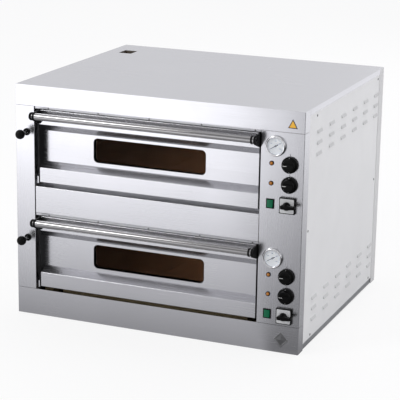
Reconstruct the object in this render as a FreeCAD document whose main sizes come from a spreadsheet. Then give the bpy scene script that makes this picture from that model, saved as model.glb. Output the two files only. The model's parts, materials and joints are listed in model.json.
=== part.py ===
import FreeCAD, Part
import os
import re
import Sketcher

# Two-deck electric pizza oven.
# Millimetres. +Z is up, the doors face -Y, +X runs towards the control panel.
# The origin is the middle of the flat underside that the oven stands on.

doc = FreeCAD.newDocument("PizzaOven")
Vector = FreeCAD.Vector

# ---------------------------------------------------------------- driving sizes

SIZES = {
    # cabinet
    "width": 955.0,
    "depth": 815.0,
    "height": 750.0,
    "sheet": 1.5,
    "seam": 1.0,
    "side_wrap": 45.0,
    "tuck": 10.0,
    "base_height": 86.5,
    "side_bottom": 20.0,
    "tray_side": 40.0,
    "post_width": 65.0,
    "control_width": 136.0,
    "control_flange": 30.0,
    "cover_lip": 18.0,
    # decks
    "lower_sill_gap": 11.0,
    "upper_sill_gap": 14.5,
    "middle_height": 87.0,
    "fascia_height": 65.0,
    "lintel_height": 7.5,
    "lintel_setback": 1.5,
    "lintel_gap": 2.0,
    # doors
    "door_depth": 50.0,
    "door_setback": 1.0,
    "door_left_gap": 16.0,
    "door_right_gap": 3.0,
    "door_flange": 40.0,
    "end_plate": 2.0,
    "flat_band": 46.0,
    "recess_depth": 29.0,
    "recess_bottom": 63.0,
    "recess_drop": 70.0,
    "window_left_margin": 175.0,
    "window_right_margin": 183.0,
    "window_low_margin": 13.0,
    "window_high_margin": 9.0,
    "window_corner": 15.0,
    "glass_thickness": 4.0,
    "glass_overlap": 8.0,
    "seal_thickness": 6.0,
    "seal_width": 8.0,
    "seal_margin": 4.0,
    "seal_clearance": 0.3,
    # handles
    "handle_reach": 36.0,
    "handle_drop": 15.0,
    "handle_radius": 11.0,
    "handle_wall": 1.5,
    "bracket_thickness": 6.0,
    "bracket_rim": 2.0,
    "cap_length": 11.0,
    "cap_rim": 2.0,
    "collar_length": 5.0,
    "collar_gap": 5.0,
    "handle_overhang": 3.0,
    # door pivots
    "pivot_inset": 16.0,
    "pivot_height": 8.0,
    "pin_radius": 4.0,
    "pin_clearance": 0.05,
    "pin_length": 9.0,
    "hinge_plate": 4.0,
    "hinge_gap": 4.0,
    "hinge_height": 22.0,
    "pin_hole_radius": 6.0,
    # chambers
    "chamber_margin": 18.5,
    "chamber_floor": 5.0,
    "roof_margin": 34.0,
    "rear_space": 45.2,
    "flange_below": 18.0,
    "flange_above": 12.0,
    "flange_lap": 12.0,
    "hearth_height": 44.0,
    "stone_thickness": 18.0,
    "stone_gap": 1.0,
    "ledge_width": 12.0,
    "ledge_thickness": 3.0,
    "element_radius": 4.0,
    "element_margin": 89.0,
    "element_inset": 60.0,
    "element_drop": 16.0,
    "element_rise": 11.0,
    "lamp_radius": 24.0,
    "lamp_reach": 16.0,
    "lamp_step": 4.0,
    "lamp_drop": 34.0,
    "lamp_tail": 30.0,
    # steam outlet and dampers
    "outlet_inset": 47.0,
    "outlet_width": 46.0,
    "outlet_back": 105.0,
    "outlet_depth": 56.0,
    "duct_wall": 1.0,
    "port_length": 44.0,
    "port_height": 36.0,
    "port_margin": 2.0,
    "port_drop": 41.0,
    "damper_inset": 38.0,
    "damper_radius": 4.0,
    "damper_clearance": 0.1,
    "damper_reach": 43.0,
    "damper_ball": 15.0,
    "gate_thickness": 1.2,
    "gate_height": 50.0,
    "gate_lead": 22.0,
    # control panel
    "thermometer_inset": 89.0,
    "thermometer_drop": 34.0,
    "thermometer_radius": 31.5,
    "thermometer_depth": 9.0,
    "dial_radius": 25.0,
    "case_depth": 24.0,
    "case_radius": 23.0,
    "spindle_radius": 0.9,
    "knob_inset": 43.5,
    "knob_drop": 87.0,
    "knob_pitch": 61.0,
    "knob_radius": 25.0,
    "knob_depth": 22.0,
    "shaft_radius": 3.0,
    "shaft_clearance": 0.05,
    "lamp_inset": 101.0,
    "pilot_radius": 6.5,
    "pilot_depth": 5.0,
    "pilot_tail": 22.0,
    "pilot_lip": 1.5,
    "thermostat_size": 38.0,
    "thermostat_depth": 30.0,
    "switch_height": 22.5,
    "rocker_inset": 102.0,
    "rocker_width": 24.5,
    "rocker_height": 29.5,
    "rocker_rim": 2.8,
    "rocker_gap": 0.6,
    "rocker_tilt": 7.0,
    "rocker_pin": 1.2,
    "main_switch_inset": 46.5,
    "main_switch_size": 48.0,
    "main_switch_depth": 10.0,
    "lever_radius": 12.5,
    "lever_length": 32.0,
    "lever_tail": 14.0,
    "lever_width": 11.0,
    "lever_reach": 31.0,
    "gear_size": 42.0,
    "gear_depth": 50.0,
    "gear_gap": 5.0,
    # louvres
    "louvre_length": 47.0,
    "louvre_height": 14.0,
    "louvre_rise": 4.5,
    "louvre_row": 34.5,
    "louvre_first": 138.5,
    "louvre_last": 80.0,
    "louvre_low": 80.0,
    "louvre_high": 79.0,
    # trim
    "badge_inset": 56.0,
    "badge_height": 42.0,
    "badge_width": 47.0,
    "badge_tall": 51.0,
    "triangle_inset": 38.5,
    "triangle_rise": 13.0,
    "triangle_size": 30.0,
    "label_thickness": 0.6,
    "screw_radius": 4.0,
    "screw_rise": 1.5,
    "small_screw": 2.6,
    "lintel_screw_left": 33.0,
    "lintel_screw_right": 16.0,
    "back_screw_side": 25.0,
    "back_screw_end": 60.0,
    "gland_inset": 110.0,
    "gland_height": 60.0,
    "gland_radius": 14.0,
    "gland_reach": 22.0,
    "gland_step": 4.0,
    "terminal_width": 80.0,
    "terminal_depth": 28.0,
    "terminal_height": 26.0,
    "terminal_rise": 40.0,
    "terminal_wall": 2.0,
    "wool": 38.0,
    "vent_length": 60.0,
    "vent_height": 5.0,
    "vent_pitch": 130.0,
    "vent_row": 14.0,
    "vent_low": 140.0,
}

dims = doc.addObject("Spreadsheet::Sheet", "Dims")
for row, (alias, size) in enumerate(SIZES.items(), start=1):
    dims.set(f"A{row}", alias)
    dims.set(f"B{row}", str(size))
    dims.setAlias(f"B{row}", alias)
doc.recompute()


def bound(text):
    """Turn plain size names into references to the sheet."""
    return re.sub(r"[a-z_]+", lambda word: "Dims." + word[0] if word[0] in SIZES else word[0], text)


def number(text):
    """The value that an expression of size names has now."""
    return float(dims.evalExpression(bound(text)))


# ---------------------------------------------------------------- named places

LEFT = "(-width / 2)"
RIGHT = "(width / 2)"
FRONT = "(-depth / 2)"
BACK = "(depth / 2)"

LINTEL_SPACE = "(lintel_gap + lintel_height + seam / 2)"
DOORLESS = "(base_height + lower_sill_gap + middle_height + upper_sill_gap + fascia_height)"
DOOR_HEIGHT = f"((height - {DOORLESS}) / 2 - {LINTEL_SPACE})"
LOWER_BOTTOM = "(base_height + lower_sill_gap)"
MIDDLE_BOTTOM = f"({LOWER_BOTTOM} + {DOOR_HEIGHT} + {LINTEL_SPACE})"
MIDDLE_TOP = f"({MIDDLE_BOTTOM} + middle_height)"
FASCIA_BOTTOM = "(height - fascia_height)"
DOOR_BOTTOM = {
    "lower": LOWER_BOTTOM,
    "upper": f"({MIDDLE_TOP} + upper_sill_gap)",
}
DECKS = tuple(DOOR_BOTTOM)

POST_EDGE = f"({LEFT} + post_width)"
CONTROL_EDGE = f"({RIGHT} - control_width)"
DOOR_LEFT = f"({POST_EDGE} + door_left_gap)"
DOOR_RIGHT = f"({CONTROL_EDGE} - door_right_gap)"
DOOR_FACE = f"({FRONT} + door_setback)"
DOOR_BACK = f"({DOOR_FACE} + door_depth)"
DOOR_WIDTH = f"({DOOR_RIGHT} - {DOOR_LEFT})"
SEAL_FACE = f"({DOOR_BACK} + seal_clearance)"
FLANGE_FACE = f"({SEAL_FACE} + seal_thickness)"
CHAMBER_LEFT = f"({DOOR_LEFT} + chamber_margin)"
CHAMBER_RIGHT = f"({DOOR_RIGHT} - chamber_margin)"
CHAMBER_WIDTH = f"({CHAMBER_RIGHT} - {CHAMBER_LEFT})"
CHAMBER_FRONT = f"({FLANGE_FACE} + sheet)"
CHAMBER_BACK = f"({BACK} - 2 * sheet - rear_space)"
CHAMBER_DEPTH = f"({CHAMBER_BACK} - {CHAMBER_FRONT})"
CHAMBER_HEIGHT = f"({DOOR_HEIGHT} - roof_margin - chamber_floor)"
LINTEL_BOTTOM = f"({DOOR_HEIGHT} + lintel_gap)"
PORT_HEIGHT = f"({DOOR_HEIGHT} - roof_margin - port_drop)"
COVER_UNDER = "(height - sheet)"
DUCT_LEFT = f"({LEFT} + outlet_inset)"
DUCT_FRONT = f"({BACK} - outlet_back - outlet_depth)"
DUCT_BACK = f"({BACK} - outlet_back)"
GATE_MIDDLE = f"(({DUCT_LEFT} + outlet_width + duct_wall + {CHAMBER_LEFT} - sheet) / 2)"
DAMPER_X = f"({LEFT} + damper_inset)"
PIVOT_Y = f"({DOOR_FACE} + pivot_inset)"
HANDLE_Y = f"({DOOR_FACE} - handle_reach)"

PLANE_TURNS = {
    "xy": FreeCAD.Rotation(),
    "xz": FreeCAD.Rotation(Vector(1, 0, 0), 90),
    "yz": FreeCAD.Rotation(Vector(1, 1, 1), 120),
}
PLANE_NORMALS = {
    "xy": ("z", Vector(0, 0, 1)),
    "xz": ("y", Vector(0, 1, 0)),
    "yz": ("x", Vector(1, 0, 0)),
}
AXIS_TURNS = {
    "x": FreeCAD.Rotation(Vector(0, 1, 0), 90),
    "y": FreeCAD.Rotation(Vector(1, 0, 0), -90),
    "z": FreeCAD.Rotation(),
}


# ---------------------------------------------------------------- shaping helpers

def place(thing, where):
    """Bind an object's position to three expressions."""
    for axis, text in zip("xyz", where):
        thing.setExpression(".Placement.Base." + axis, bound(text))


def block(name, low, size):
    """A box from its low corner and its three sizes."""
    box = doc.addObject("Part::Box", name)
    for side, text in zip(("Length", "Width", "Height"), size):
        box.setExpression(side, bound(text))
    place(box, low)
    return box


def slab(name, low, high):
    """A box from its low corner to its high corner."""
    return block(name, low, [f"({top}) - ({bottom})" for bottom, top in zip(low, high)])


def bar(name, axis, start, radius, length):
    """A round bar along an axis, from the middle of its low end."""
    cylinder = doc.addObject("Part::Cylinder", name)
    cylinder.setExpression("Radius", bound(radius))
    cylinder.setExpression("Height", bound(length))
    cylinder.Placement.Rotation = AXIS_TURNS[axis]
    place(cylinder, start)
    return cylinder


def fused(name, pieces):
    """One solid from pieces that touch."""
    union = doc.addObject("Part::MultiFuse", name)
    union.Shapes = pieces
    return union


def group(name, pieces):
    """Separate solids of one kind, kept together as one sub-part."""
    compound = doc.addObject("Part::Compound", name)
    compound.Links = pieces
    return compound


def drilled(name, base, tools):
    """A base with tools cut out of it."""
    result = doc.addObject("Part::Cut", name)
    result.Base = base
    result.Tool = tools[0] if len(tools) == 1 else group(name + "Tools", tools)
    return result


def fix_point(sketch, geometry, end, point, tag):
    """Hold one end of a sketch edge at a pair of expressions."""
    for kind, text in zip(("DistanceX", "DistanceY"), point):
        index = sketch.addConstraint(Sketcher.Constraint(kind, -1, 1, geometry, end, number(text)))
        label = f"{kind}{tag}"
        sketch.renameConstraint(index, label)
        sketch.setExpression(f"Constraints.{label}", bound(text))


def draw_line(sketch, points, closed):
    """A line of straight edges through points given as expressions."""
    corners = [Vector(number(u), number(v), 0) for u, v in points]
    count = len(points) if closed else len(points) - 1
    for index in range(count):
        end = corners[(index + 1) % len(corners)]
        sketch.addGeometry(Part.LineSegment(corners[index], end), False)
    for index in range(count - 1):
        sketch.addConstraint(Sketcher.Constraint("Coincident", index, 2, index + 1, 1))
    if closed:
        sketch.addConstraint(Sketcher.Constraint("Coincident", count - 1, 2, 0, 1))
    for index, point in enumerate(points):
        if index < count:
            fix_point(sketch, index, 1, point, index)
        else:
            fix_point(sketch, index - 1, 2, point, index)


def free_sketch(name, plane, start):
    """A sketch on a plane that is moved along its own normal."""
    sketch = doc.addObject("Sketcher::SketchObject", name)
    sketch.Placement.Rotation = PLANE_TURNS[plane]
    axis = PLANE_NORMALS[plane][0]
    sketch.setExpression(".Placement.Base." + axis, bound(start))
    return sketch


def extruded(name, base, plane, length):
    """A flat outline pushed along the plane's axis."""
    extrusion = doc.addObject("Part::Extrusion", name)
    extrusion.Base = base
    extrusion.DirMode = "Custom"
    extrusion.Dir = PLANE_NORMALS[plane][1]
    extrusion.setExpression("LengthFwd", bound(length))
    extrusion.Solid = True
    return extrusion


def folded(name, plane, path, start, length, side=1):
    """Folded sheet metal: the inner line of its bends, thickened outwards, pushed straight.

    The bends are round on the outside, as a press brake leaves them.
    """
    sketch = free_sketch(name + "Line", plane, start)
    draw_line(sketch, path, closed=False)
    skin = doc.addObject("Part::Offset2D", name + "Skin")
    skin.Source = sketch
    skin.setExpression("Value", bound(f"{side} * sheet"))
    skin.Mode = "Skin"
    skin.Join = "Arc"
    skin.Fill = True
    return extruded(name, skin, plane, length)


def prism(name, plane, points, start, length):
    """A closed outline pushed straight."""
    sketch = free_sketch(name + "Outline", plane, start)
    draw_line(sketch, points, closed=True)
    return extruded(name, sketch, plane, length)


def rounded_block(name, low, size, radius):
    """A block whose four corners are round when seen from the front."""
    sketch = free_sketch(name + "Outline", "xz", low[1])
    right = f"({low[0]} + {size[0]})"
    top = f"({low[2]} + {size[2]})"
    inner_left = f"({low[0]} + {radius})"
    inner_right = f"({right} - {radius})"
    inner_bottom = f"({low[2]} + {radius})"
    inner_top = f"({top} - {radius})"
    edges = [
        ((inner_left, low[2]), (inner_right, low[2])),
        ((right, inner_bottom), (right, inner_top)),
        ((inner_right, top), (inner_left, top)),
        ((low[0], inner_top), (low[0], inner_bottom)),
    ]
    middles = [
        (inner_right, inner_bottom, -90, 0),
        (inner_right, inner_top, 0, 90),
        (inner_left, inner_top, 90, 180),
        (inner_left, inner_bottom, 180, 270),
    ]
    for begin, end in edges:
        line = [Vector(number(u), number(v), 0) for u, v in (begin, end)]
        sketch.addGeometry(Part.LineSegment(*line), False)
    for u, v, first, last in middles:
        circle = Part.Circle(Vector(number(u), number(v), 0), Vector(0, 0, 1), number(radius))
        degree = FreeCAD.Units.Quantity("1 deg").getValueAs("rad").Value
        sketch.addGeometry(Part.ArcOfCircle(circle, first * degree, last * degree), False)
    for index, (begin, end) in enumerate(edges):
        fix_point(sketch, index, 1, begin, 2 * index)
        fix_point(sketch, index, 2, end, 2 * index + 1)
        following = (index + 1) % 4
        sketch.addConstraint(Sketcher.Constraint("Coincident", 4 + index, 1, index, 2))
        sketch.addConstraint(Sketcher.Constraint("Coincident", 4 + index, 2, following, 1))
        turn = sketch.addConstraint(Sketcher.Constraint("Radius", 4 + index, number(radius)))
        sketch.renameConstraint(turn, f"Corner{index}")
        sketch.setExpression(f"Constraints.Corner{index}", bound(radius))
    return extruded(name, sketch, "xz", size[1])


def origin_plane(body, role):
    """A body's own origin plane."""
    return next(plane for plane in body.Origin.OriginFeatures if plane.Role == role)


def turned(name, profile, where, axis="y"):
    """A piece turned on a lathe, from a closed profile of (radius, distance along the axis)."""
    body = doc.addObject("PartDesign::Body", name)
    sketch = body.newObject("Sketcher::SketchObject", name + "Profile")
    sketch.AttachmentSupport = [(origin_plane(body, "XY_Plane"), "")]
    sketch.MapMode = "FlatFace"
    draw_line(sketch, profile, closed=True)
    revolution = body.newObject("PartDesign::Revolution", name + "Turn")
    revolution.Profile = sketch
    revolution.ReferenceAxis = (sketch, ["V_Axis"])
    revolution.Angle = 360
    if axis == "x":
        body.Placement.Rotation = FreeCAD.Rotation(Vector(0, 0, 1), -90)
    place(body, where)
    return body


NODES = []


def node(thing, label):
    """Name a finished sub-part."""
    thing.Label = label
    NODES.append(thing)
    return thing


# ---------------------------------------------------------------- cabinet shell

# The base tray: its sides stand up inside the side panels, which are fixed to them.
tray = folded(
    "BaseTray",
    "xz",
    [
        (f"{LEFT} + 3 * sheet", "tray_side"),
        (f"{LEFT} + 3 * sheet", "sheet"),
        (f"{RIGHT} - 3 * sheet", "sheet"),
        (f"{RIGHT} - 3 * sheet", "tray_side"),
    ],
    f"{FRONT} + sheet",
    "depth - 2 * sheet",
    side=-1,
)
node(tray, "base_tray")


def wrap(inner_front, tail):
    """The plan line of a front panel that turns both corners of the cabinet."""
    return [
        (f"{LEFT} + sheet", tail),
        (f"{LEFT} + sheet", inner_front),
        (f"{RIGHT} - sheet", inner_front),
        (f"{RIGHT} - sheet", tail),
    ]


FRONT_INNER = f"{FRONT} + sheet"
WRAP_END = f"({FRONT} + side_wrap)"

base_front = folded(
    "BaseFront", "xy", wrap(FRONT_INNER, WRAP_END), "seam / 2", "base_height - seam / 2"
)
node(base_front, "base_front_panel")

fascia = folded(
    "Fascia", "xy", wrap(FRONT_INNER, WRAP_END), FASCIA_BOTTOM, f"{COVER_UNDER} - {FASCIA_BOTTOM}"
)
node(fascia, "top_front_fascia")

POST_BOTTOM = "(base_height + seam)"
POST_LENGTH = f"{FASCIA_BOTTOM} - seam - {POST_BOTTOM}"

post_sheet = folded(
    "PostSheet",
    "xy",
    [
        (f"{LEFT} + sheet", WRAP_END),
        (f"{LEFT} + sheet", FRONT_INNER),
        (f"{POST_EDGE} - sheet", FRONT_INNER),
        (f"{POST_EDGE} - sheet", FLANGE_FACE),
    ],
    POST_BOTTOM,
    POST_LENGTH,
)
rod_holes = []
for deck in DECKS:
    rod_holes.append(bar(
        deck.title() + "RodHole",
        "y",
        (DAMPER_X, f"{FRONT} - seam", f"{DOOR_BOTTOM[deck]} + {PORT_HEIGHT}"),
        "damper_radius + damper_clearance",
        "2 * seam + 2 * sheet",
    ))
node(drilled("LeftPost", post_sheet, rod_holes), "left_front_post")

MIDDLE_LEFT = f"({POST_EDGE} + door_right_gap)"
MIDDLE_RIGHT = f"({CONTROL_EDGE} - seam)"
middle = folded(
    "MiddlePanel",
    "yz",
    [
        (FLANGE_FACE, f"{MIDDLE_TOP} - sheet"),
        (FRONT_INNER, f"{MIDDLE_TOP} - sheet"),
        (FRONT_INNER, f"{MIDDLE_BOTTOM} + sheet"),
        (FLANGE_FACE, f"{MIDDLE_BOTTOM} + sheet"),
    ],
    MIDDLE_LEFT,
    f"{MIDDLE_RIGHT} - {MIDDLE_LEFT}",
)
node(middle, "middle_front_panel")

# The top cover: a flat sheet with a lip turned down over each side panel.
cover_folded = folded(
    "CoverFolded",
    "xz",
    [
        (f"{LEFT} + sheet", "height - cover_lip"),
        (f"{LEFT} + sheet", COVER_UNDER),
        (f"{RIGHT} - sheet", COVER_UNDER),
        (f"{RIGHT} - sheet", "height - cover_lip"),
    ],
    f"{WRAP_END} + seam",
    "depth - 2 * side_wrap - 2 * seam",
)
cover_flat = slab("CoverFlat", (LEFT, FRONT, COVER_UNDER), (RIGHT, BACK, "height"))
OUTLET_LOW = (DUCT_LEFT, DUCT_FRONT, f"{COVER_UNDER} - seam")
cover_hole = block("CoverHole", OUTLET_LOW, ("outlet_width", "outlet_depth", "sheet + 2 * seam"))
cover = drilled("TopCover", fused("CoverSheet", [cover_folded, cover_flat]), [cover_hole])
node(cover, "top_cover")

back_panel_sheet = folded(
    "BackSheet",
    "xy",
    wrap(f"{BACK} - sheet", f"{BACK} - side_wrap"),
    "seam / 2",
    f"{COVER_UNDER} - seam / 2",
    side=-1,
)
GLAND_X = f"({RIGHT} - gland_inset)"
gland_hole = bar(
    "GlandHole",
    "y",
    (GLAND_X, f"{BACK} - 3 * sheet", "gland_height"),
    "gland_radius - gland_step",
    "6 * sheet",
)
back_holes = [gland_hole]
for field in ("vent_low", "height - vent_low"):
    for row in range(2):
        for column in range(5):
            back_holes.append(block(
                f"Vent{len(back_holes)}",
                (
                    f"{column - 2} * vent_pitch - vent_length / 2",
                    f"{BACK} - 3 * sheet",
                    f"{field} + {row} * vent_row",
                ),
                ("vent_length", "6 * sheet", "vent_height"),
            ))
node(drilled("BackPanel", back_panel_sheet, back_holes), "back_panel")

# Louvres are pressed outwards, open at the bottom edge, in two fields of three rows.
LOUVRE_COLUMNS = 6
LOUVRE_ROWS = 3


def louvre(name, side, low_y, low_z, hollow):
    """One pressed louvre hood, or the air space beneath it."""
    hood = doc.addObject("Part::Wedge", name)
    shrink = "0.8" if hollow else "0"
    drop = "seam" if hollow else "0"
    rise = "(louvre_rise - 0.8)" if hollow else "louvre_rise"
    sizes = {
        "Xmin": f"{shrink}",
        "Xmax": f"louvre_length - {shrink}",
        "X2min": f"3 + {shrink}",
        "X2max": f"louvre_length - 3 - {shrink}",
        "Zmin": f"-{drop}",
        "Zmax": f"louvre_height - {shrink}",
        "Z2min": f"-{drop}",
        "Z2max": "2 - " + shrink,
        "Ymin": "-2 * sheet" if hollow else "-sheet / 2",
        "Ymax": rise,
    }
    for key, text in sizes.items():
        hood.setExpression(key, bound(text))
    turn = -90 if side == "right" else 90
    hood.Placement.Rotation = FreeCAD.Rotation(Vector(0, 0, 1), turn)
    face = f"{RIGHT} - sheet" if side == "right" else f"{LEFT} + sheet"
    start = f"{low_y} + louvre_length / 2" if side == "right" else f"{low_y} - louvre_length / 2"
    place(hood, (face, start, low_z))
    return hood


LOUVRE_PITCH = f"((depth - louvre_first - louvre_last) / {LOUVRE_COLUMNS - 1})"
LOUVRE_FIELDS = {
    "Low": "louvre_low",
    "High": f"(height - louvre_high - {LOUVRE_ROWS - 1} * louvre_row)",
}

for side in ("left", "right"):
    if side == "right":
        panel_x = f"{RIGHT} - 2 * sheet"
    else:
        panel_x = f"{LEFT} + sheet"
    name = side.title()
    flat = block(
        name + "SideSheet",
        (panel_x, f"{WRAP_END} - tuck", "side_bottom"),
        ("sheet", "depth - 2 * side_wrap + 2 * tuck", f"{COVER_UNDER} - side_bottom"),
    )
    hoods = []
    spaces = []
    for field, low in LOUVRE_FIELDS.items():
        for row in range(LOUVRE_ROWS):
            for column in range(LOUVRE_COLUMNS):
                y = f"({FRONT} + louvre_first + {column} * {LOUVRE_PITCH})"
                z = f"({low} + {row} * louvre_row - louvre_height / 2)"
                tag = f"{name}{field}{row}{column}"
                hoods.append(louvre("Hood" + tag, side, y, z, hollow=False))
                spaces.append(louvre("Space" + tag, side, y, z, hollow=True))
    skin = fused(name + "SideSkin", [flat] + hoods)
    node(drilled(name + "Side", skin, spaces), side + "_side_panel")

# ---------------------------------------------------------------- control panel

control_sheet = folded(
    "ControlSheet",
    "xy",
    [
        (f"{CONTROL_EDGE} + sheet", f"{FRONT} + control_flange"),
        (f"{CONTROL_EDGE} + sheet", FRONT_INNER),
        (f"{RIGHT} - sheet", FRONT_INNER),
        (f"{RIGHT} - sheet", WRAP_END),
    ],
    POST_BOTTOM,
    POST_LENGTH,
)

KNOB_X = f"({RIGHT} - knob_inset)"
PILOT_X = f"({RIGHT} - lamp_inset)"
THERMOMETER_X = f"({RIGHT} - thermometer_inset)"
ROCKER_X = f"({RIGHT} - rocker_inset)"
SWITCH_X = f"({RIGHT} - main_switch_inset)"
CUT_START = f"({FRONT} - seam)"
CUT_DEPTH = "2 * seam + 2 * sheet"

knob_places = {}
for deck in DECKS:
    top_knob = f"{DOOR_BOTTOM[deck]} + {DOOR_HEIGHT} - knob_drop"
    knob_places[(deck, "upper")] = f"({top_knob})"
    knob_places[(deck, "lower")] = f"({top_knob} - knob_pitch)"

panel_holes = []
for (deck, which), z in knob_places.items():
    tag = deck.title() + which.title()
    shaft_hole = bar("ShaftHole" + tag, "y", (KNOB_X, CUT_START, z), "shaft_radius + seam", CUT_DEPTH)
    pilot_hole = bar("PilotHole" + tag, "y", (PILOT_X, CUT_START, z), "pilot_radius - pilot_lip", CUT_DEPTH)
    panel_holes += [shaft_hole, pilot_hole]
for deck in DECKS:
    tag = deck.title()
    bottom = DOOR_BOTTOM[deck]
    gauge_z = f"{bottom} + {DOOR_HEIGHT} - thermometer_drop"
    switch_z = f"({bottom} + switch_height)"
    panel_holes.append(bar(
        "GaugeHole" + tag, "y", (THERMOMETER_X, CUT_START, gauge_z), "case_radius", CUT_DEPTH
    ))
    panel_holes.append(block(
        "RockerHole" + tag,
        (
            f"{ROCKER_X} - rocker_width / 2 + rocker_rim / 2",
            CUT_START,
            f"{switch_z} - rocker_height / 2 + rocker_rim / 2",
        ),
        ("rocker_width - rocker_rim", CUT_DEPTH, "rocker_height - rocker_rim"),
    ))
    panel_holes.append(bar(
        "SwitchHole" + tag, "y", (SWITCH_X, CUT_START, switch_z), "lever_radius", CUT_DEPTH
    ))
    panel_holes.append(bar(
        "PinHole" + tag,
        "x",
        (f"{CONTROL_EDGE} - seam", PIVOT_Y, f"{bottom} + pivot_height"),
        "pin_hole_radius",
        "2 * seam + sheet",
    ))
node(drilled("ControlPanel", control_sheet, panel_holes), "control_panel")

# Thermometers: a chromed ring with a case behind it, a dial, a needle and a lens.
bezels = []
dials = []
lenses = []
needles = {}
for deck in DECKS:
    tag = deck.title()
    z = f"({DOOR_BOTTOM[deck]} + {DOOR_HEIGHT} - thermometer_drop)"
    centre = (THERMOMETER_X, FRONT, z)
    bezels.append(turned(
        "Bezel" + tag,
        [
            ("dial_radius", "-2"),
            ("dial_radius", "-thermometer_depth + 1"),
            ("dial_radius + 2", "-thermometer_depth"),
            ("thermometer_radius - 2.5", "-thermometer_depth"),
            ("thermometer_radius - 0.5", "-thermometer_depth + 2"),
            ("thermometer_radius", "-thermometer_depth / 2"),
            ("thermometer_radius", "0"),
            ("case_radius", "0"),
            ("case_radius", "case_depth"),
            ("0", "case_depth"),
            ("0", "-2"),
        ],
        centre,
    ))
    dials.append(turned(
        "Dial" + tag,
        [
            ("0", "-4.4"),
            ("0", "-2"),
            ("dial_radius", "-2"),
            ("dial_radius", "-2.8"),
            ("spindle_radius", "-2.8"),
            ("spindle_radius", "-4.4"),
        ],
        centre,
    ))
    lenses.append(turned(
        "Lens" + tag,
        [
            ("0", "-thermometer_depth + 1.2"),
            ("dial_radius", "-thermometer_depth + 1.2"),
            ("dial_radius", "-thermometer_depth + 2.7"),
            ("0", "-thermometer_depth + 2.7"),
        ],
        centre,
    ))
    # The pointer lies along the needle's own x, on the side away from its short tail.
    hub = turned(
        "NeedleHub" + tag,
        [("0", "-4.6"), ("0", "-3.1"), ("2.6", "-3.1"), ("2.6", "-4.6")],
        ("0", "0", "0"),
    )
    pointer = prism(
        "Pointer" + tag,
        "xz",
        [("-9", "-1.3"), ("-9", "1.3"), ("19", "0.5"), ("19", "-0.5")],
        "-4.2",
        "0.7",
    )
    spindle_hole = bar(
        "SpindleHole" + tag, "y", ("0", "-6", "0"), "spindle_radius + shaft_clearance", "6"
    )
    needle = drilled("Needle" + tag, fused("NeedleWhole" + tag, [hub, pointer]), [spindle_hole])
    needle.Placement.Rotation = FreeCAD.Rotation(Vector(0, 1, 0), 149)
    place(needle, centre)
    needles[deck] = node(needle, deck + "_thermometer_needle")
node(group("Bezels", bezels), "thermometer_cases")
node(group("Dials", dials), "thermometer_dials")
node(group("Lenses", lenses), "thermometer_lenses")

# Thermostats sit behind the panel and carry the knobs on their shafts.
thermostats = []
pilots = []
KNOB_NAMES = {"upper": "top_heat", "lower": "bottom_heat"}
for (deck, which), z in knob_places.items():
    tag = deck.title() + which.title()
    body = block(
        "ThermostatBox" + tag,
        (f"{KNOB_X} - thermostat_size / 2", f"{FRONT} + sheet", f"{z} - thermostat_size / 2"),
        ("thermostat_size", "thermostat_depth", "thermostat_size"),
    )
    shaft = bar(
        "ThermostatShaft" + tag,
        "y",
        (KNOB_X, f"{FRONT} - knob_depth + 5", z),
        "shaft_radius",
        "knob_depth + sheet",
    )
    thermostats.append(fused("Thermostat" + tag, [body, shaft]))
    bore = "shaft_radius + shaft_clearance"
    knob_turned = turned(
        "KnobTurned" + tag,
        [
            (bore, "-seam"),
            ("knob_radius - 1", "-seam"),
            ("knob_radius", "-2"),
            ("knob_radius", "-5"),
            ("knob_radius - 1", "-6"),
            ("knob_radius - 4", "-7"),
            ("knob_radius - 5.5", "-knob_depth + 6"),
            ("knob_radius - 7.5", "-knob_depth + 4"),
            ("0", "-knob_depth + 4"),
            ("0", "-knob_depth + 4.7"),
            (bore, "-knob_depth + 4.7"),
        ],
        (KNOB_X, FRONT, z),
    )
    grip = prism(
        "KnobGrip" + tag,
        "xz",
        [("-18", "-4.5"), ("-18", "4.5"), ("0", "6"), ("18", "4.5"), ("18", "-4.5"), ("0", "-6")],
        "-knob_depth",
        "8",
    )
    place(grip, (KNOB_X, FRONT, z))
    grip_cut = drilled("KnobGripCut" + tag, grip, [bar(
        "KnobGripBore" + tag,
        "y",
        (KNOB_X, f"{FRONT} - knob_depth + 4.7", z),
        bore,
        "knob_depth",
    )])
    knob = fused("Knob" + tag, [knob_turned, grip_cut])
    node(knob, f"{deck}_{KNOB_NAMES[which]}_knob")
    pilots.append(turned(
        "Pilot" + tag,
        [
            ("0", "-pilot_depth"),
            ("pilot_radius - 3.5", "-pilot_depth + 0.5"),
            ("pilot_radius - pilot_lip - 0.3", "-pilot_depth + 2"),
            ("pilot_radius - pilot_lip - 0.3", "-2"),
            ("pilot_radius", "-1.6"),
            ("pilot_radius", "0"),
            ("pilot_radius - pilot_lip - 0.3", "0"),
            ("pilot_radius - pilot_lip - 0.3", "pilot_tail"),
            ("0", "pilot_tail"),
        ],
        (PILOT_X, FRONT, z),
    ))
node(group("Thermostats", thermostats), "thermostat_bodies")
node(group("Pilots", pilots), "pilot_lamps")

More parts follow.
